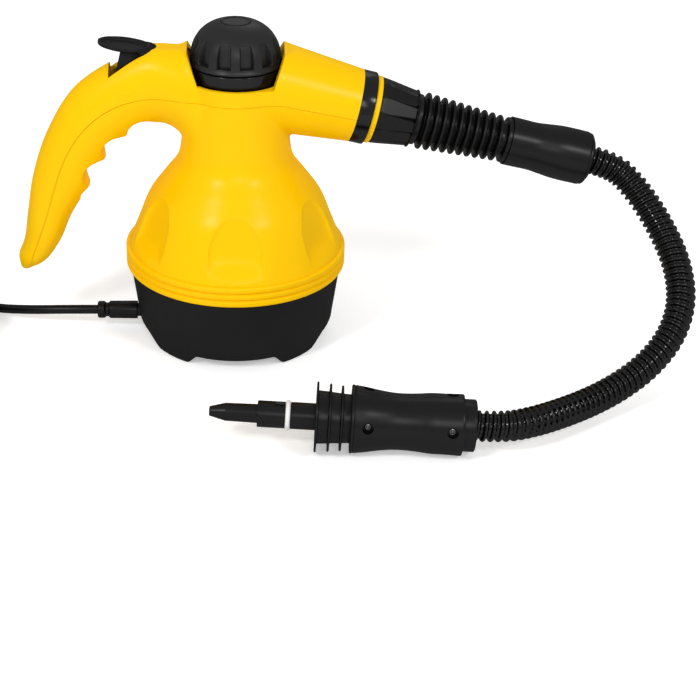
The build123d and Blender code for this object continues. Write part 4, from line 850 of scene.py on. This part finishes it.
handGripLine = smooth([(21.2, 90.2), (20.5, 95.5), (18.9, 105.0), (17.8, 114.0), (17.7, 122.0), (18.2, 130.0), (18.9, 137.0), (19.0, 146.0), (19.3, 156.6)], 60)
gripOutline = [(8.5, 87.7), (21.4, 87.7, 0.3), (21.4, 89.3, 0.3), (20.9, 89.5)] + [tuple(p) for p in handGripLine] + [(19.0, 157.2), (13.6, 157.2), (13.6, 154.4), (14.9, 151.6), (14.9, 90.6), (8.5, 90.6)]
handGrip = solid("handGrip", turned(rounded(gripOutline, True), handPlace, 160), True)
screwPlan = {
    "places": (98.0, 150.0), "count": 4, "first": 75.0, "holeR": 3.5, "seat": 15.5, "bore": 1.55, "shankR": 1.45, "shankLow": 11.6,
    "headR": 2.35, "head": 1.15, "crossHalf": 0.32, "crossLong": 1.35,
}
handThird = np.cross(handWay, handSide)
screwSeat, screwTop = screwPlan["seat"], screwPlan["seat"] + screwPlan["head"]
screwLine = rounded([
    (0, screwPlan["shankLow"]), (screwPlan["shankR"], screwPlan["shankLow"], 0.3), (screwPlan["shankR"], screwSeat + 0.02),
    (screwPlan["headR"], screwSeat + 0.02, 0.2), (screwPlan["headR"] - 0.1, screwTop - 0.3, 0.3), (1.3, screwTop, 0.3), (0.7, screwTop - 0.7), (0, screwTop - 0.9),
])
screws = []
for place in screwPlan["places"]:
    for k in range(screwPlan["count"]):
        a = math.radians(screwPlan["first"] + k * 360 / screwPlan["count"])
        out = np.array(handSide) * math.cos(a) + handThird * math.sin(a)
        spot = {"origin": tuple(onHand(place)), "axis": tuple(out), "side": handWay}
        combine(handGrip, rodTool(screwPlan["holeR"], screwPlan["seat"], 30, spot, 48), "DIFFERENCE")
        combine(handGrip, rodTool(screwPlan["bore"], 5.0, screwPlan["seat"] + 1, spot, 32), "DIFFERENCE")
        screws.append(turned(screwLine, spot, 32))
dress(handGrip, "gripBlack", ["handpiece_grip"], 30)
handScrews = solid("handScrews", screws[0])
for points in screws[1:]:
    join(handScrews, gridMesh("screw", points))
dress(handScrews, "darkSteel", ["handpiece_screws"], 30)
turnedPiece("handCollar", [(7.0, 104.3), (8.4, 104.3), (8.4, 154.4), (13.3, 154.4), (13.3, 157.2), (16.4, 157.2, 0.3), (16.4, 165.2, 0.9), (7.0, 165.2)],
            handPlace, "gripBlack", ["handpiece_collar"], turns=120)
print("handpiece is made")

# ---- cords

cordPlan = {"r": 3.25, "centre": (-224.0, -22.0), "inner": 27.0, "pitch": 7.4, "layer": 7.05, "layers": 4, "turns": 3, "tie": 1.2, "perTurn": 14}
cordRoute = [(-96.8, 0.0, 13.2), (-120.8, 1.0, 12.6), (-144.8, 6.0, 9.5), (-170.8, 17.0, 4.6), (-191.5, 27.2, 4.45)]


# Coil: three turns a layer, in and out by turns; radius falls and grows by the pitch each turn, and the
# height climbs by half a sine in the half turn round each reversal. A spline of this order runs inside
# its points by (1 + cos(pi / n)) / 2, so the points stand out by as much
def coilPoints():
    n, turns, layers = cordPlan["perTurn"], cordPlan["turns"], cordPlan["layers"]
    rounds = np.arange(0, layers * turns * n + 1) / n
    layer = np.minimum(rounds // turns, layers - 1)
    into = rounds - layer * turns
    widest = cordPlan["inner"] + cordPlan["pitch"] * turns
    radius = np.where(layer % 2 == 0, widest - cordPlan["pitch"] * into, cordPlan["inner"] + cordPlan["pitch"] * into)
    height = layer.astype(float)
    for k in range(1, layers):
        off = rounds - k * turns
        near = np.abs(off) <= 0.25
        height = np.where(near, k - 0.5 + 0.5 * np.sin(off / 0.25 * math.pi / 2), height)
    radius = radius * 2 / (1 + math.cos(math.pi / n))
    angle = math.pi / 2 + 2 * math.pi * rounds
    x = cordPlan["centre"][0] + radius * np.cos(angle)
    y = cordPlan["centre"][1] + radius * np.sin(angle)
    return np.column_stack([x, y, cordPlan["tie"] + cordPlan["r"] + cordPlan["layer"] * height])


coil = coilPoints()
tailRoute = [(-254.5, 28.7, 25.0), (-280.5, 33.2, 19.5), (-307.5, 40.2, 18.5), (-328.5, 47.2, 18.5)]
fullRoute = np.vstack([cordRoute, coil, tailRoute])


def splineCurve(name, points, depth, smoothness=4):
    data = bpy.data.curves.new(name, "CURVE")
    data.dimensions = "3D"
    spline = data.splines.new("NURBS")
    spline.points.add(len(points) - 1)
    spline.points.foreach_set("co", np.column_stack([points * mm, np.ones(len(points))]).reshape(-1))
    spline.order_u = 3
    spline.use_endpoint_u = True
    spline.resolution_u = smoothness
    data.bevel_depth = depth * mm
    data.bevel_resolution = 5
    data.use_fill_caps = True
    return makeObject(name, data)


cord = splineCurve("powerCord", fullRoute, cordPlan["r"])
cord.data.materials.append(materials["cordBlack"])
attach(cord, "base")
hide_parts("power_cord", "cord_coil", "cord_tail")

relief = [
    (0.3, 61.9), (4.6, 61.9), (4.6, 69.0), (6.3, 69.0, 0.5), (6.15, 88.2, 1.0), (4.9, 89.2, 0.6), (4.9, 91.0, 0.6), (6.0, 92.0, 1.2),
    (6.0, 96.8, 1.4), (3.35, 96.8), (3.35, 90.0), (0.3, 90.0),
]
reliefPlace = {"origin": (0, 0, 13.2), "axis": (-1, 0, 0), "side": (0, 0, 1)}
strainRelief = turnedPiece("strainRelief", relief, reliefPlace, "cordBlack", ["strain_relief"], turns=72)

tailA, tailB = np.array(tailRoute[-2]), np.array(tailRoute[-1])
plugWay = (tailB - tailA) / np.linalg.norm(tailB - tailA)
plugPlace = {"origin": tuple(tailB), "axis": tuple(plugWay), "side": (plugWay[1], -plugWay[0], 0.0)}
plugBody = turnedPiece("plugBody", [(0, 0), (4.1, 0, 0.8), (5.0, 8, 0.6), (5.6, 14, 0.6), (6.5, 20, 1.5), (16.1, 22.4, 2.4), (18.5, 34, 2.0), (17.9, 44, 1.0), (18.5, 46), (18.5, 56, 1.2), (0, 56)],
                       plugPlace, "cordBlack", ["plug_body"], closed=False, turns=96)

hosePlan = {"r": 9.9, "root": 7.9, "bore": 7.0, "pitch": 4.75, "lead": 17.5}
hoseStart = np.array([245.0 * noseCos, 0.0, noseFrame["axisZ"] - 245.0 * noseSin])
hoseOut = np.array([262.5 * noseCos, 0.0, noseFrame["axisZ"] - 262.5 * noseSin])
hoseRoute = np.array([
    hoseStart, hoseOut, (270.1, -7.4, 115.0), (284.7, -23.7, 97.5), (295.7, -47.0, 78.1), (297.4, -69.8, 59.4), (288.5, -88.0, 42.2), (271.7, -101.6, 27.5),
    (250.6, -113.6, 17.6), (228.0, -127.9, 14.1), (205.6, -144.0, 15.4), (185.5, -157.8, 17.8), onHand(165.2 + hosePlan["lead"]), onHand(165.2),
])


# Points of a spline as Blender reads them, evened to equal steps
def readSpline(points, step):
    guide = splineCurve("guide", points, 0.0, 24)
    guide.data.use_fill_caps = False
    bpy.context.view_layer.update()
    mesh = bpy.data.meshes.new_from_object(guide.evaluated_get(bpy.context.evaluated_depsgraph_get()))
    line = np.empty(len(mesh.vertices) * 3)
    mesh.vertices.foreach_get("co", line)
    line = line.reshape(-1, 3) / mm
    bpy.data.objects.remove(guide)
    bpy.data.meshes.remove(mesh)
    at = np.concatenate([[0], np.cumsum(np.linalg.norm(np.diff(line, axis=0), axis=1))])
    count = int(round(at[-1] / step)) + 1
    where = np.linspace(0, at[-1], count)
    return np.column_stack([np.interp(where, at, line[:, k]) for k in range(3)]), at[-1]


# Spiral-ribbed hose: line(s) + (n cos t + b sin t) * r, where r rises to a narrow crest once each pitch,
# turned by t, and rounds off as half an ellipse; the bore closes it as a tube
def hosePoints():
    line, long = readSpline(hoseRoute, hosePlan["pitch"] / 14)
    way = np.gradient(line, axis=0)
    way /= np.linalg.norm(way, axis=1, keepdims=True)
    normal = np.cross(hoseRoute[4] - hoseRoute[0], hoseRoute[-1] - hoseRoute[0])
    normal /= np.linalg.norm(normal)
    side = normal - way * (way @ normal)[:, None]
    side /= np.linalg.norm(side, axis=1, keepdims=True)
    third = np.cross(way, side)
    t = np.linspace(0, 2 * math.pi, 48, endpoint=False)[None, :]
    s = np.linspace(0, long, len(line))[:, None]
    phase = (s / hosePlan["pitch"] + t / (2 * math.pi)) % 1
    crest = np.sqrt(np.clip(1 - ((phase - 0.5) / 0.30) ** 2, 0, 1))
    r = hosePlan["root"] + (hosePlan["r"] - hosePlan["root"]) * crest
    skin = line[:, None] + (side[:, None] * np.cos(t)[..., None] + third[:, None] * np.sin(t)[..., None]) * r[..., None]
    bore = line[::8, None] + (side[::8, None] * np.cos(t)[..., None] + third[::8, None] * np.sin(t)[..., None]) * hosePlan["bore"]
    return np.concatenate([skin, bore[::-1]]) * mm, line, long


hoseGrid, hoseLine, hoseLong = hosePoints()
steamHose = solid("steamHose", hoseGrid, True)
dress(steamHose, "hoseBlack", ["steam_hose"], 60)
print("cords are made, hose", round(hoseLong), "mm")
